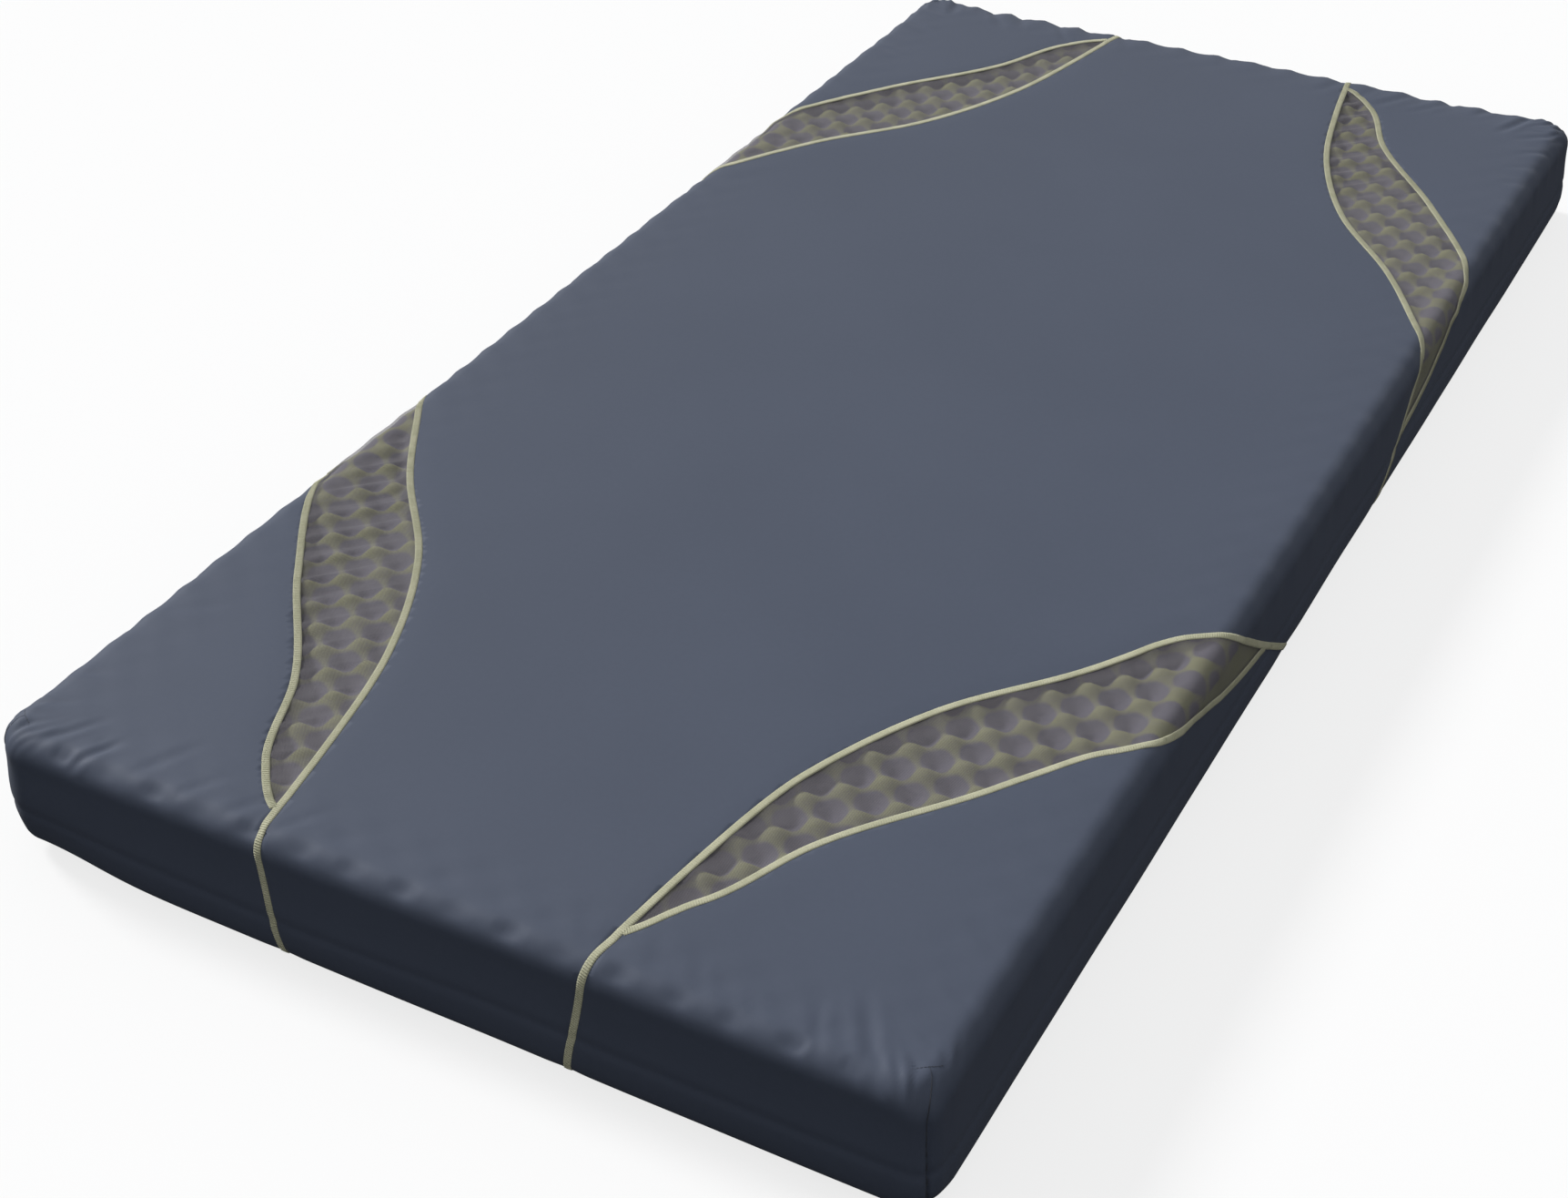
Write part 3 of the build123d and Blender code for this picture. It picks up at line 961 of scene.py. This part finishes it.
def new_piece(node, suffix, slot_name, points, faces, uv=None):
    """A smooth piece of the mattress that stands for a CAD node, from points and lists of faces. It takes its
    slot's materials, and it may have chart coordinates in metres."""
    mesh = bpy.data.meshes.new(f"{node}_{suffix}")
    mesh.from_pydata(np.asarray(points).tolist(), [], faces)
    mesh.update()
    if uv is not None:
        layer = mesh.uv_layers.new(name="chart")
        loops = np.empty(len(mesh.loops), np.int32)
        mesh.loops.foreach_get("vertex_index", loops)
        layer.data.foreach_set("uv", np.asarray(uv, np.float32)[loops].ravel())
    mesh.polygons.foreach_set("use_smooth", np.full(len(mesh.polygons), True))
    for material in FINISHES[slot_name]:
        mesh.materials.append(material)
    piece = bpy.data.objects.new(mesh.name, mesh)
    bpy.context.scene.collection.objects.link(piece)
    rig.slot(piece, slot_name)
    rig.ride(piece, "mattress")
    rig.replaces(piece, node)
    return piece


def thicken(piece, thickness):
    """Gives a piece of cloth its thickness, inwards."""
    solid = piece.modifiers.new("thickness", "SOLIDIFY")
    solid.thickness = thickness
    solid.offset = -1


def merged(parts):
    """The points and faces of many parts as one."""
    points, faces, start = [], [], 0
    for own_points, own_faces in parts:
        points.append(own_points)
        faces += [tuple(start + i for i in f) for f in own_faces]
        start += len(own_points)
    return np.concatenate(points), faces


def used_only(faces, count):
    """The numbers of the points that faces use, out of a count, and the faces in the new numbers."""
    used = np.unique(np.concatenate([np.array(f) for f in faces]))
    renumber = np.full(count, -1)
    renumber[used] = np.arange(len(used))
    return used, [tuple(renumber[list(f)].tolist()) for f in faces]


def grid_quads(shape):
    """Each quad of a grid of points, as four point numbers."""
    index = np.arange(shape[0] * shape[1]).reshape(shape)
    return np.stack([index[:-1, :-1], index[1:, :-1], index[1:, 1:], index[:-1, 1:]], axis=-1).reshape(-1, 4)


def cell_middles(axis_p, axis_q):
    """The chart points in the middles of a grid's cells."""
    return np.meshgrid((axis_p[:-1] + axis_p[1:]) / 2, (axis_q[:-1] + axis_q[1:]) / 2, indexing="ij")


def tube_faces(rings, sides):
    """Faces of a closed-ended tube whose points come ring by ring."""
    faces = []
    for r in range(rings - 1):
        a, b = r * sides, (r + 1) * sides
        for s in range(sides):
            t = (s + 1) % sides
            faces.append((a + s, a + t, b + t, b + s))
    faces.append(tuple(range(sides))[::-1])
    faces.append(tuple(range((rings - 1) * sides, rings * sides)))
    return faces


def tube(line, normals, radius, sides):
    """Points and faces of a tube round a line. Normals say which way is up. The radius may change."""
    ahead = unit(np.gradient(line, axis=0))
    side = unit(np.cross(ahead, normals))
    up = np.cross(side, ahead)
    radius = np.broadcast_to(radius, (len(line),))[:, None]
    rings = []
    for s in range(sides):
        angle = 2 * math.pi * s / sides
        rings.append(line + radius * (math.cos(angle) * side + math.sin(angle) * up))
    return np.stack(rings, axis=1).reshape(-1, 3), tube_faces(len(line), sides)


# --- Cover panels ---

FINE = 3.2 * MM
ZIP_RUN = run_at(ZIP_HIGH)
SEAM_NEAR = 10 * MM


def snapped(p, q, distance):
    """Moves the grid points nearest to a seam onto it, so that no grid edge crosses it. distance(p, q) is
    signed. Gives the moved grid and each point's side: -1, 0 on the seam, 1."""
    f = distance(p, q)
    on = np.zeros(f.shape, bool)
    for a, b in ((np.s_[:-1, :], np.s_[1:, :]), (np.s_[:, :-1], np.s_[:, 1:])):
        crossing = (f[a] * f[b] < 0) & (np.abs(f[a]) < SEAM_NEAR) & (np.abs(f[b]) < SEAM_NEAR)
        first = np.abs(f[a]) <= np.abs(f[b])
        on[a] |= crossing & first
        on[b] |= crossing & ~first
    step = 0.5 * MM
    slope_p = (distance(p + step, q) - distance(p - step, q)) / (2 * step)
    slope_q = (distance(p, q + step) - distance(p, q - step)) / (2 * step)
    size = np.maximum(slope_p**2 + slope_q**2, 0.25)
    p = np.where(on, p - f * slope_p / size, p)
    q = np.where(on, q - f * slope_q / size, q)
    return p, q, np.where(on, 0, np.sign(f)).astype(int)


def chart_faces(shape, side, keep):
    """Quads of a grid, or triangles where a seam runs along a diagonal, with each face's side of the seam."""
    corners = grid_quads(shape)[keep.ravel()]
    sides = side.ravel()[corners]
    mixed = (sides.max(1) > 0) & (sides.min(1) < 0)
    faces = [tuple(c) for c in corners[~mixed].tolist()]
    labels = list(np.sign(sides[~mixed].sum(1)))
    for c, s in zip(corners[mixed].tolist(), sides[mixed].tolist()):
        halves = ((0, 1, 2), (0, 2, 3)) if s[0] == 0 and s[2] == 0 else ((0, 1, 3), (1, 2, 3))
        for half in halves:
            faces.append(tuple(c[i] for i in half))
            labels.append(np.sign(sum(s[i] for i in half)))
    return faces, np.array(labels)


def long_distance(p, q):
    return read_raster(long_raster, p, q)


def short_distance(p, q):
    """Signed distance to the short seam, without its run-out on the centre panel's side of the long seam."""
    return np.where(long_distance(p, q) > 1 * MM, read_raster(short_raster, p, q), 1.0)


def cut_panel(node, slot_name, chosen, points):
    """One panel of the cover: its own faces, with their points and chart."""
    used, faces = used_only([all_faces[i] for i in np.flatnonzero(chosen)], len(chart))
    return new_piece(node, "cloth", slot_name, points.reshape(-1, 3)[used], faces, chart[used])


coarse = HALF_PITCH / 4
past_seam = (CORE_X + BASE_SEAM_RUN, FINE)
axis_p = spaced((CORE_X - 0.08, coarse), (ZIP_HALF, FINE), (CORE_X, FINE), past_seam)
past_seam = (CORE_Y + BASE_SEAM_RUN, FINE)
axis_q = spaced((CORE_Y - 0.08, coarse), (CORE_Y, FINE), (CORE_Y + ZIP_RUN, FINE), past_seam)
grid_p, grid_q = np.meshgrid(axis_p, axis_q, indexing="ij")
grid_p, grid_q, long_side = snapped(grid_p, grid_q, long_distance)
free_p, free_q, _ = snapped(grid_p, grid_q, short_distance)
grid_p = np.where(long_side == 0, grid_p, free_p)
grid_q = np.where(long_side == 0, grid_q, free_q)
chart = np.stack([grid_p.ravel(), grid_q.ravel()], axis=-1)
middle_p, middle_q = cell_middles(axis_p, axis_q)
in_zip = (np.abs(middle_p) < ZIP_HALF) & (middle_q > CORE_Y + ZIP_RUN)
all_faces, beyond_long = chart_faces(grid_p.shape, long_side, ~in_zip)

cover_relief, grid_long, grid_short = relief(grid_p, grid_q)
leaf_relief = cover_relief + mesh_relief(grid_p, grid_q, grid_long, grid_short)
cover_points = place(grid_p, grid_q, cover_relief)
leaf_points = place(grid_p, grid_q, leaf_relief)

centres = np.array([chart[list(f)].mean(0) for f in all_faces])
beyond_short = short_distance(centres[:, 0], centres[:, 1]) > 0
leaves, corner_cloths = {}, {}
for quarter, signs in QUARTERS.items():
    own = (np.sign(centres) == signs).all(1) & (beyond_long > 0)
    leaves[quarter] = cut_panel(f"mesh_panel_{quarter}", "mesh_fabric", own & ~beyond_short, leaf_points)
    cloth = cut_panel(f"corner_panel_{quarter}", "cover_fabric", own & beyond_short, cover_points)
    thicken(cloth, COVER_THICKNESS)
    corner_cloths[quarter] = cloth
centre_cloth = cut_panel("centre_panel", "cover_fabric", beyond_long <= 0, cover_points)
thicken(centre_cloth, COVER_THICKNESS)


# --- Foam ---


def foam_layer(node, suffix, slot_name, steps, height, lift, upside_down=False):
    """One foam layer as a closed piece: a chart surface down to a height, with a flat face where the layers
    meet. The steps are those of the chart's grid on the flat, round the edge and down the wall."""
    axes = []
    for core in (CORE_X, CORE_Y):
        ends = (core, core + FLAT + ARC, core + run_at(height))
        axes.append(spaced(*zip(ends, steps)))
    p, q = np.meshgrid(*axes, indexing="ij")
    points = place(p, q, lift(p, q), upside_down).reshape(-1, 3)
    index = np.arange(p.size).reshape(p.shape)
    rim = np.concatenate([index[:-1, 0], index[-1, :-1], index[:0:-1, -1], index[0, :0:-1]]).tolist()
    points[rim, 2] = FOAM_JOINT_Z - (0.2 * MM if upside_down else 0)
    faces = [tuple(f) for f in grid_quads(p.shape).tolist()] + [tuple(rim)[::-1]]
    if upside_down:
        faces = [f[::-1] for f in faces]
    return new_piece(node, suffix, slot_name, points, faces)


def convoluted(p, q):
    """The upper layer's surface: an egg-crate of peaks and pits on the top, smooth down the sides."""
    fade = 1 - smooth((np.maximum(*past_core(p, q)) + 0.008) / 0.036)
    return relief(p, q)[0] - FOAM_GAP - FOAM_DEPTH * pit(p, q) * fade


def base_gap(p, q):
    """The base foam's surface, on a chart that starts on the underside. It follows the cover up the sides."""
    core_x, core_y, _, _, run = directions(p, q)
    share = (2 * FLAT + 2 * ARC + WALL - run) / np.maximum(run, 1e-6)
    follow = relief(core_x + (p - core_x) * share, core_y + (q - core_y) * share)[0]
    return (follow - 0.6 * MM) * smooth((run - FLAT) / ARC) - FOAM_GAP


top_steps = (HALF_PITCH / 5, HALF_PITCH / 5, 12 * MM)
foam_top = foam_layer("foam_top", "convoluted", "top_foam", top_steps, FOAM_JOINT_Z, convoluted)
base_steps = (20 * MM, 4 * MM, 10 * MM)
base_depth = HEIGHT - FOAM_JOINT_Z
foam_base = foam_layer("foam_base", "slab", "base_foam", base_steps, base_depth, base_gap, upside_down=True)


# --- Seam tapes ---

# Across a tape: where its bed's points lie and how high, and the same, with a radius, for each arched rung.
BED_ACROSS = np.array([-0.46, -0.43, -0.25, 0, 0.25, 0.43, 0.46]) * TAPE_WIDTH
BED_LIFT = np.array([-0.5, 0.35, 0.55, 0.6, 0.55, 0.35, -0.5]) * MM
RUNG_ACROSS = np.array([-0.44, -0.39, -0.2, 0.0, 0.2, 0.39, 0.44]) * TAPE_WIDTH
RUNG_LIFT = np.array([-0.4, 0.35, 0.55, 0.6, 0.55, 0.35, -0.4]) * MM
RUNG_RADIUS = np.array([0.35, 0.58, 0.54, 0.54, 0.54, 0.58, 0.35]) * MM
RUNG_SLANT = np.sign(RUNG_ACROSS) * 0.35 * MM
RUNG_SIDES = 5


def tape_piece(node, line, signs):
    """A flat seam tape on the cover: a thin bed, closed underneath, and a ladder of threads across it."""
    line = laid(line, *signs) * np.array(signs)
    ahead = unit(np.gradient(line, axis=0))
    across = np.stack([-ahead[:, 1], ahead[:, 0]], axis=-1)
    beds = [cover(*(line + across * offset).T, lift) for offset, lift in zip(BED_ACROSS, BED_LIFT)]
    parts = [(np.stack(beds, axis=1).reshape(-1, 3), tube_faces(len(line), len(beds)))]

    runs = run_along(line)
    marks = np.arange(THREAD_PITCH / 2, runs[-1], THREAD_PITCH)
    turn = unit(read_along(across, runs, marks))
    forward = np.stack([turn[:, 1], -turn[:, 0]], axis=-1)
    spots = read_along(line, runs, marks)[:, None] + turn[:, None] * RUNG_ACROSS[:, None]
    p, q = (spots + forward[:, None] * RUNG_SLANT[:, None]).reshape(-1, 2).T
    rungs = (len(marks), len(RUNG_ACROSS), 3)
    middles = cover(p, q, np.tile(RUNG_LIFT, len(marks))).reshape(rungs)
    for middle, normals in zip(middles, chart_normals(p, q).reshape(rungs)):
        parts.append(tube(middle, normals, RUNG_RADIUS, RUNG_SIDES))
    return new_piece(node, "stitched", "seam_tape", *merged(parts))


long_line = smooth_line(LONG_SEAM, THREAD_PITCH)
long_line = trimmed(long_line, long_line[:, 0] < CORE_X + BASE_SEAM_RUN - 2 * MM)
short_line = smooth_line(SHORT_SEAM, THREAD_PITCH)
short_line = trimmed(short_line, long_distance(*short_line.T) > TAPE_WIDTH * 0.25)
long_tapes, short_tapes = {}, {}
for quarter, signs in QUARTERS.items():
    limit = CORE_Y + (ZIP_RUN if signs[1] > 0 else BASE_SEAM_RUN) - 1 * MM
    own_line = trimmed(long_line, long_line[:, 1] < limit)
    long_tapes[quarter] = tape_piece(f"long_tape_{quarter}", own_line, signs)
    short_tapes[quarter] = tape_piece(f"short_tape_{quarter}", short_line, signs)


# --- Corner seams and base seam ---

# The dart's cord, and the bar of fine stitches across its top.
DART_POINTS = 60
DART_RADIUS = 0.45 * MM
BAR_MIDDLE = np.array([CORE_X + 0.0205, CORE_Y + 0.0065])
BAR_HALF = np.array([0.0075, -0.0100])
BAR_STITCHES = 9
STITCH_SHARE = 0.86
STITCH_RADIUS = 0.22 * MM
STITCH_LIFT = 0.16 * MM


def stitch(first, last):
    """Points and faces of one stitch that dips into the cloth at both ends."""
    p, q = (first + (last - first) * np.linspace(0, 1, 5)[:, None]).T
    line = cover(p, q, STITCH_LIFT * np.array([-0.6, 0.6, 1.0, 0.6, -0.6]))
    return tube(line, chart_normals(p, q), STITCH_RADIUS * np.array([0.6, 1, 1, 1, 0.6]), 6)


def corner_seam_piece(node, signs):
    """The dart down a corner: a sunk seam from the top to the base seam, with a small T of stitches above."""
    run = np.linspace(FLAT * 0.75, BASE_SEAM_RUN - 2 * MM, DART_POINTS)
    aside = 7 * MM * smooth((0.060 - run) / 0.046)
    p, q = signs[0] * (CORE_X + run + aside), signs[1] * (CORE_Y + run - aside)
    from_end = np.minimum(np.arange(DART_POINTS), np.arange(DART_POINTS)[::-1])
    radius = DART_RADIUS * np.clip(from_end / 6, 0.3, 1)
    parts = [tube(cover(p, q, 0.1 * MM), chart_normals(p, q), radius, 6)]
    for k in range(BAR_STITCHES):
        middle = BAR_MIDDLE + BAR_HALF * (1 - (2 * k + 1) / BAR_STITCHES)
        half = BAR_HALF * STITCH_SHARE / BAR_STITCHES
        parts.append(stitch((middle + half) * signs, (middle - half) * signs))
    return new_piece(node, "stitched", "dark_thread", *merged(parts))


def base_seam_piece():
    """The seam between cover and base: a cord of overlocked thread round all four sides, open at the zip."""
    edge = CORE_Y + BASE_SEAM_RUN
    side = CORE_X + BASE_SEAM_RUN
    step = 3 * MM
    right_head = [(x, edge) for x in np.arange(ZIP_HALF, side, step)]
    right = [(side, y) for y in np.arange(edge, -edge, -step)]
    foot = [(x, -edge) for x in np.arange(side, -side, -step)]
    left = [(-side, y) for y in np.arange(-edge, edge, step)]
    left_head = [(x, edge) for x in np.arange(-side, -ZIP_HALF + 0.1 * MM, step)]
    route = np.array(right_head + right + foot + left + left_head)
    line = cover(*route.T, 0.3 * MM)
    keep = np.concatenate([[True], np.linalg.norm(np.diff(line, axis=0), axis=1) > 0.8 * MM])
    line, route = line[keep], route[keep]
    twist = 0.9 * MM + 0.25 * MM * np.cos(np.arange(len(line)) * math.pi)
    return new_piece("base_seam", "stitched", "dark_thread", *tube(line, chart_normals(*route.T), twist, 6))


corner_seams = {}
for quarter, signs in QUARTERS.items():
    corner_seams[quarter] = corner_seam_piece(f"corner_seam_{quarter}", signs)
base_seam = base_seam_piece()


# --- Base panel ---

BASE_LIFT = -0.8 * MM
BASE_STEP = 12 * MM

# Grip dots in offset rows on the flat underside, each of three rings: a share of the radius, and a height.
DOT_SPACING = 24 * MM
DOT_RADIUS = 3.2 * MM
DOT_RINGS = ((1.0, 0.85 * MM), (0.8, 0.3 * MM), (0.35, 0.0))
DOT_SIDES = 6


def base_cloth():
    """The underside: coated fabric that turns up to the base seam, and up to the zip at the head end.
    Gives its points, its faces and its chart."""
    turn_up = FLAT + EDGE * math.acos(1 - BASE_SEAM_Z / EDGE)
    facing_run = FLAT + ARC + ZIP_LOW - EDGE
    p_axis = spaced((ZIP_HALF, BASE_STEP), (CORE_X, BASE_STEP), (CORE_X + turn_up, FINE))
    q_axis = spaced((CORE_Y, BASE_STEP), (CORE_Y + turn_up, FINE), (CORE_Y + facing_run, FINE))
    p, q = np.meshgrid(p_axis, q_axis, indexing="ij")
    middle_p, middle_q = cell_middles(p_axis, q_axis)
    keep = (np.abs(middle_q) < CORE_Y + turn_up) | ((middle_q > 0) & (np.abs(middle_p) < ZIP_HALF))
    run = directions(p, q)[4]
    height = HEIGHT - profile(run)[1]
    lift = BASE_LIFT + corner_tuck(p, q, height) * smooth((run + 0.004) / 0.020) * (run > 0)
    used, faces = used_only(grid_quads(p.shape)[keep.ravel()], p.size)
    points = place(p, q, lift, upside_down=True).reshape(-1, 3)[used]
    return points, [f[::-1] for f in faces], np.stack([p.ravel()[used], q.ravel()[used]], axis=-1)


def grip_dot(x, y):
    """Points and faces of one low rubber dot."""
    points, faces = [], []
    for share, z in DOT_RINGS:
        for k in range(DOT_SIDES):
            angle = 2 * math.pi * k / DOT_SIDES
            reach = DOT_RADIUS * share
            points.append((x + reach * math.cos(angle), y + reach * math.sin(angle), z))
    for a in (0, DOT_SIDES):
        for k in range(DOT_SIDES):
            n = (k + 1) % DOT_SIDES
            faces.append((a + k, a + DOT_SIDES + k, a + DOT_SIDES + n, a + n))
    faces.append(tuple(range(len(points) - DOT_SIDES, len(points)))[::-1])
    return np.array(points), faces


def base_panel_piece():
    """The base fabric and its dots, with a material for each."""
    points, faces, uv = base_cloth()
    dots = []
    for row, y in enumerate(np.arange(-CORE_Y, CORE_Y, DOT_SPACING * 0.866)):
        for x in np.arange(-CORE_X + (row % 2) * DOT_SPACING / 2, CORE_X, DOT_SPACING):
            dots.append((x, y))
    dot_uv = np.repeat(np.array(dots), len(DOT_RINGS) * DOT_SIDES, axis=0)
    parts = merged([(points, faces), *(grip_dot(x, y) for x, y in dots)])
    piece = new_piece("base_panel", "cloth", "grip_fabric", *parts, np.concatenate([uv, dot_uv]))
    slots = np.zeros(len(piece.data.polygons), np.int32)
    slots[len(faces) :] = 1
    piece.data.polygons.foreach_set("material_index", slots)
    return piece


base_panel = base_panel_piece()


# --- Zip ---

# From the teeth outwards across a zip tape: the share of its width, and how proud the weave stands there.
ZIP_SHARES = np.array([0, 0.06, 0.14, 0.3, 0.6, 0.85, 1.0])
ZIP_PROUD = np.array([0.9, 1.2, 0.5, 0.1, 0.0, 0.15, 0.1]) * MM
ZIP_TAPE_THICKNESS = 0.7 * MM
TOOTH_Y = sum(corner.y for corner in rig.box("zip_teeth_upper")) / 2
COIL_PITCH = 1.6 * MM
COIL_STEPS = 10
COIL_MARGIN = 1 * MM


def zip_tape_piece(node, side):
    """One woven zip tape, a little wavy, with a thicker cord along the teeth."""
    low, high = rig.box(node)
    x = np.linspace(low.x, high.x, 271)
    inner, outer = (low.z, high.z) if side > 0 else (high.z, low.z)
    points, uv = [], []
    for share, proud in zip(ZIP_SHARES, ZIP_PROUD):
        wave = 0.15 * MM * np.sin(x * 90 + side) * (1 - share) + 0.2 * MM * np.sin(x * 23 + 2 * side)
        z = np.full_like(x, inner + (outer - inner) * share)
        points.append(np.stack([x, ZIP_FACE_Y - 0.5 * MM + proud * 0.5 + wave * share, z], axis=-1))
        uv.append(np.stack([x, z], axis=-1))
    faces = [tuple(f) if side > 0 else tuple(f)[::-1] for f in grid_quads((len(points), len(x))).tolist()]
    piece = new_piece(node, "woven", "zip_tape", np.concatenate(points), faces, np.concatenate(uv))
    thicken(piece, ZIP_TAPE_THICKNESS)
    return piece


def zip_coil_piece(node, side):
    """One row of teeth: a nylon coil whose loops reach over the centre line between the other row's."""
    low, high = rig.box(node)
    turns = int((high.x - low.x - 2 * COIL_MARGIN) / COIL_PITCH)
    t = np.arange(turns * COIL_STEPS + 1) / COIL_STEPS
    angle = 2 * math.pi * t
    x = low.x + COIL_MARGIN + COIL_PITCH * t + (0 if side > 0 else COIL_PITCH / 2)
    y = TOOTH_Y + 0.25 * MM + 1.05 * MM * np.sin(angle)
    z = ZIP_Z + side * (1.55 * MM - 1.75 * MM * np.cos(angle))
    normals = np.tile(np.array([0.0, 1.0, 0.25]), (len(t), 1))
    radius = 0.34 * MM + 0.08 * MM * (0.5 + 0.5 * np.cos(angle))
    return new_piece(node, "coil", "zip_coil", *tube(np.stack([x, y, z], axis=-1), normals, radius, 5))


zip_pieces = [
    zip_tape_piece("zip_tape_upper", 1),
    zip_tape_piece("zip_tape_lower", -1),
    zip_coil_piece("zip_teeth_upper", 1),
    zip_coil_piece("zip_teeth_lower", -1),
]
for node in ("zip_stop_closed", "zip_stop_open", "zip_slider", "zip_pull"):
    carried = frame["nodes"][node]
    carried.data.materials.clear()
    carried.data.materials.append(metal_material)


# --- What each soft piece is ---


def flat_cut(piece):
    """The width, length and area of a panel on the chart, in metres: the cloth's cut before it was sewn.
    The width and length lie across and along the panel, which may slant on the chart."""
    mesh = piece.data
    uv = np.empty(len(mesh.loops) * 2, np.float32)
    mesh.uv_layers["chart"].data.foreach_get("uv", uv)
    uv = uv.reshape(-1, 2)
    _, axes = np.linalg.eigh(np.cov(uv.T))
    width, length = np.ptp(uv @ axes, axis=0)
    area = 0.0
    for polygon in mesh.polygons:
        corners = uv[list(polygon.loop_indices)]
        after = np.roll(corners, -1, axis=0)
        area += abs((corners[:, 0] * after[:, 1] - corners[:, 1] * after[:, 0]).sum()) / 2
    return {"flat": (float(width), float(length)), "area": float(area)}


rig.padded(foam_top, fill=1.0)
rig.padded(foam_base, fill=1.0)
for quarter in QUARTERS:
    leaf = leaves[quarter]
    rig.sheet(leaf, **flat_cut(leaf), held="stretched", rests_on=[foam_top])
    cloth = corner_cloths[quarter]
    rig.sheet(
        cloth,
        **flat_cut(cloth),
        held="stretched",
        rests_on=[foam_top, foam_base],
        with_pieces=[short_tapes[quarter], corner_seams[quarter]],
    )
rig.sheet(
    centre_cloth,
    **flat_cut(centre_cloth),
    held="stretched",
    rests_on=[foam_top, foam_base],
    with_pieces=list(long_tapes.values()),
)
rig.sheet(
    base_panel,
    flat=(2 * HALF_WIDTH, 2 * HALF_LENGTH),
    held="stretched",
    rests_on=[foam_base],
    with_pieces=[base_seam, *zip_pieces],
)


# --- Floor, light and camera ---

FLOOR_SHADE = (0.16, 0.16, 0.16, 1.0)
FLOOR_GLOW = (0.78, 0.78, 0.78, 1.0)
BACKDROP_GLOW = (0.86, 0.86, 0.86, 1.0)
SKY_COLOUR = (0.97, 0.985, 1.0, 1.0)
SKY_STRENGTH = 0.58
KEY_STRENGTH = 3.7
KEY_ANGLE = 14
KEY_FROM = (-0.76, 0.16, 0.56)
LENS = 56.2
SENSOR = 36.0
CAMERA_AT = (0.9414, -2.0780, 1.4565)
CAMERA_AIM = (-0.0207, -0.2940, 0.0)


def staged(name, material, unseen_by):
    """Makes the new mesh part of the stage, out of sight of some kinds of light rays."""
    piece = bpy.context.active_object
    piece.name = name
    piece.data.materials.append(material)
    for ray in unseen_by:
        setattr(piece, "visible_" + ray, False)
    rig.stage(piece)


def studio():
    """A plain pale floor and backdrop, soft light from the sky and a broad sun from the left."""
    bpy.context.scene.view_settings.view_transform = "Standard"
    pale = Shader("pale floor")
    pale.set(base_color=FLOOR_SHADE, roughness=0.9, specular_ior_level=0.0)
    pale.set(emission_color=FLOOR_GLOW, emission_strength=1.0)
    bpy.ops.mesh.primitive_plane_add(size=60, location=(0, 0, -0.3 * MM))
    staged("floor", pale.material, ("diffuse", "glossy"))

    white = Shader("backdrop white")
    glow = white.node("Emission", {"Color": BACKDROP_GLOW})
    connect(white.tree, white.output.inputs["Surface"], glow.outputs[0])
    bpy.ops.mesh.primitive_uv_sphere_add(segments=48, ring_count=24, radius=28, location=(0, 0, 0))
    staged("backdrop", white.material, ("diffuse", "glossy", "transmission", "shadow"))

    # The sky gives its light from above the horizon only.
    world = bpy.data.worlds.new("studio")
    bpy.context.scene.world = world
    world.use_nodes = True
    tree = world.node_tree
    tree.nodes.clear()
    where = add_node(tree, "TexCoord").outputs["Generated"]
    up = add_node(tree, "SeparateXYZ", {0: where}).outputs[2]
    horizon = {"Value": up, "From Min": -0.05, "From Max": 0.10, "To Max": SKY_STRENGTH}
    strength = add_node(tree, "MapRange", horizon, interpolation_type="SMOOTHSTEP").outputs[0]
    sky = add_node(tree, "Background", {"Color": SKY_COLOUR, "Strength": strength})
    add_node(tree, "OutputWorld", {0: sky.outputs[0]})

    key_data = bpy.data.lights.new("key", "SUN")
    key_data.energy = KEY_STRENGTH
    key_data.angle = math.radians(KEY_ANGLE)
    key = bpy.data.objects.new("key", key_data)
    bpy.context.scene.collection.objects.link(key)
    key.rotation_euler = Vector(KEY_FROM).to_track_quat("Z", "Y").to_euler()


studio()

camera_data = bpy.data.cameras.new("camera")
camera_data.lens = LENS
camera_data.sensor_width = SENSOR
camera = bpy.data.objects.new("camera", camera_data)
bpy.context.scene.collection.objects.link(camera)
camera.location = CAMERA_AT
aim = np.array(CAMERA_AIM) - np.array(camera.location)
aim /= np.linalg.norm(aim)
camera.rotation_euler = (math.acos(-aim[2]), 0.0, math.atan2(-aim[0], aim[1]))
bpy.context.scene.camera = camera

visual_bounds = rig.bounds()
with open("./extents.json", "w") as size_file:
    sizes = {"cad": [list(v) for v in cad_bounds], "visual": [list(v) for v in visual_bounds]}
    json.dump(sizes, size_file)
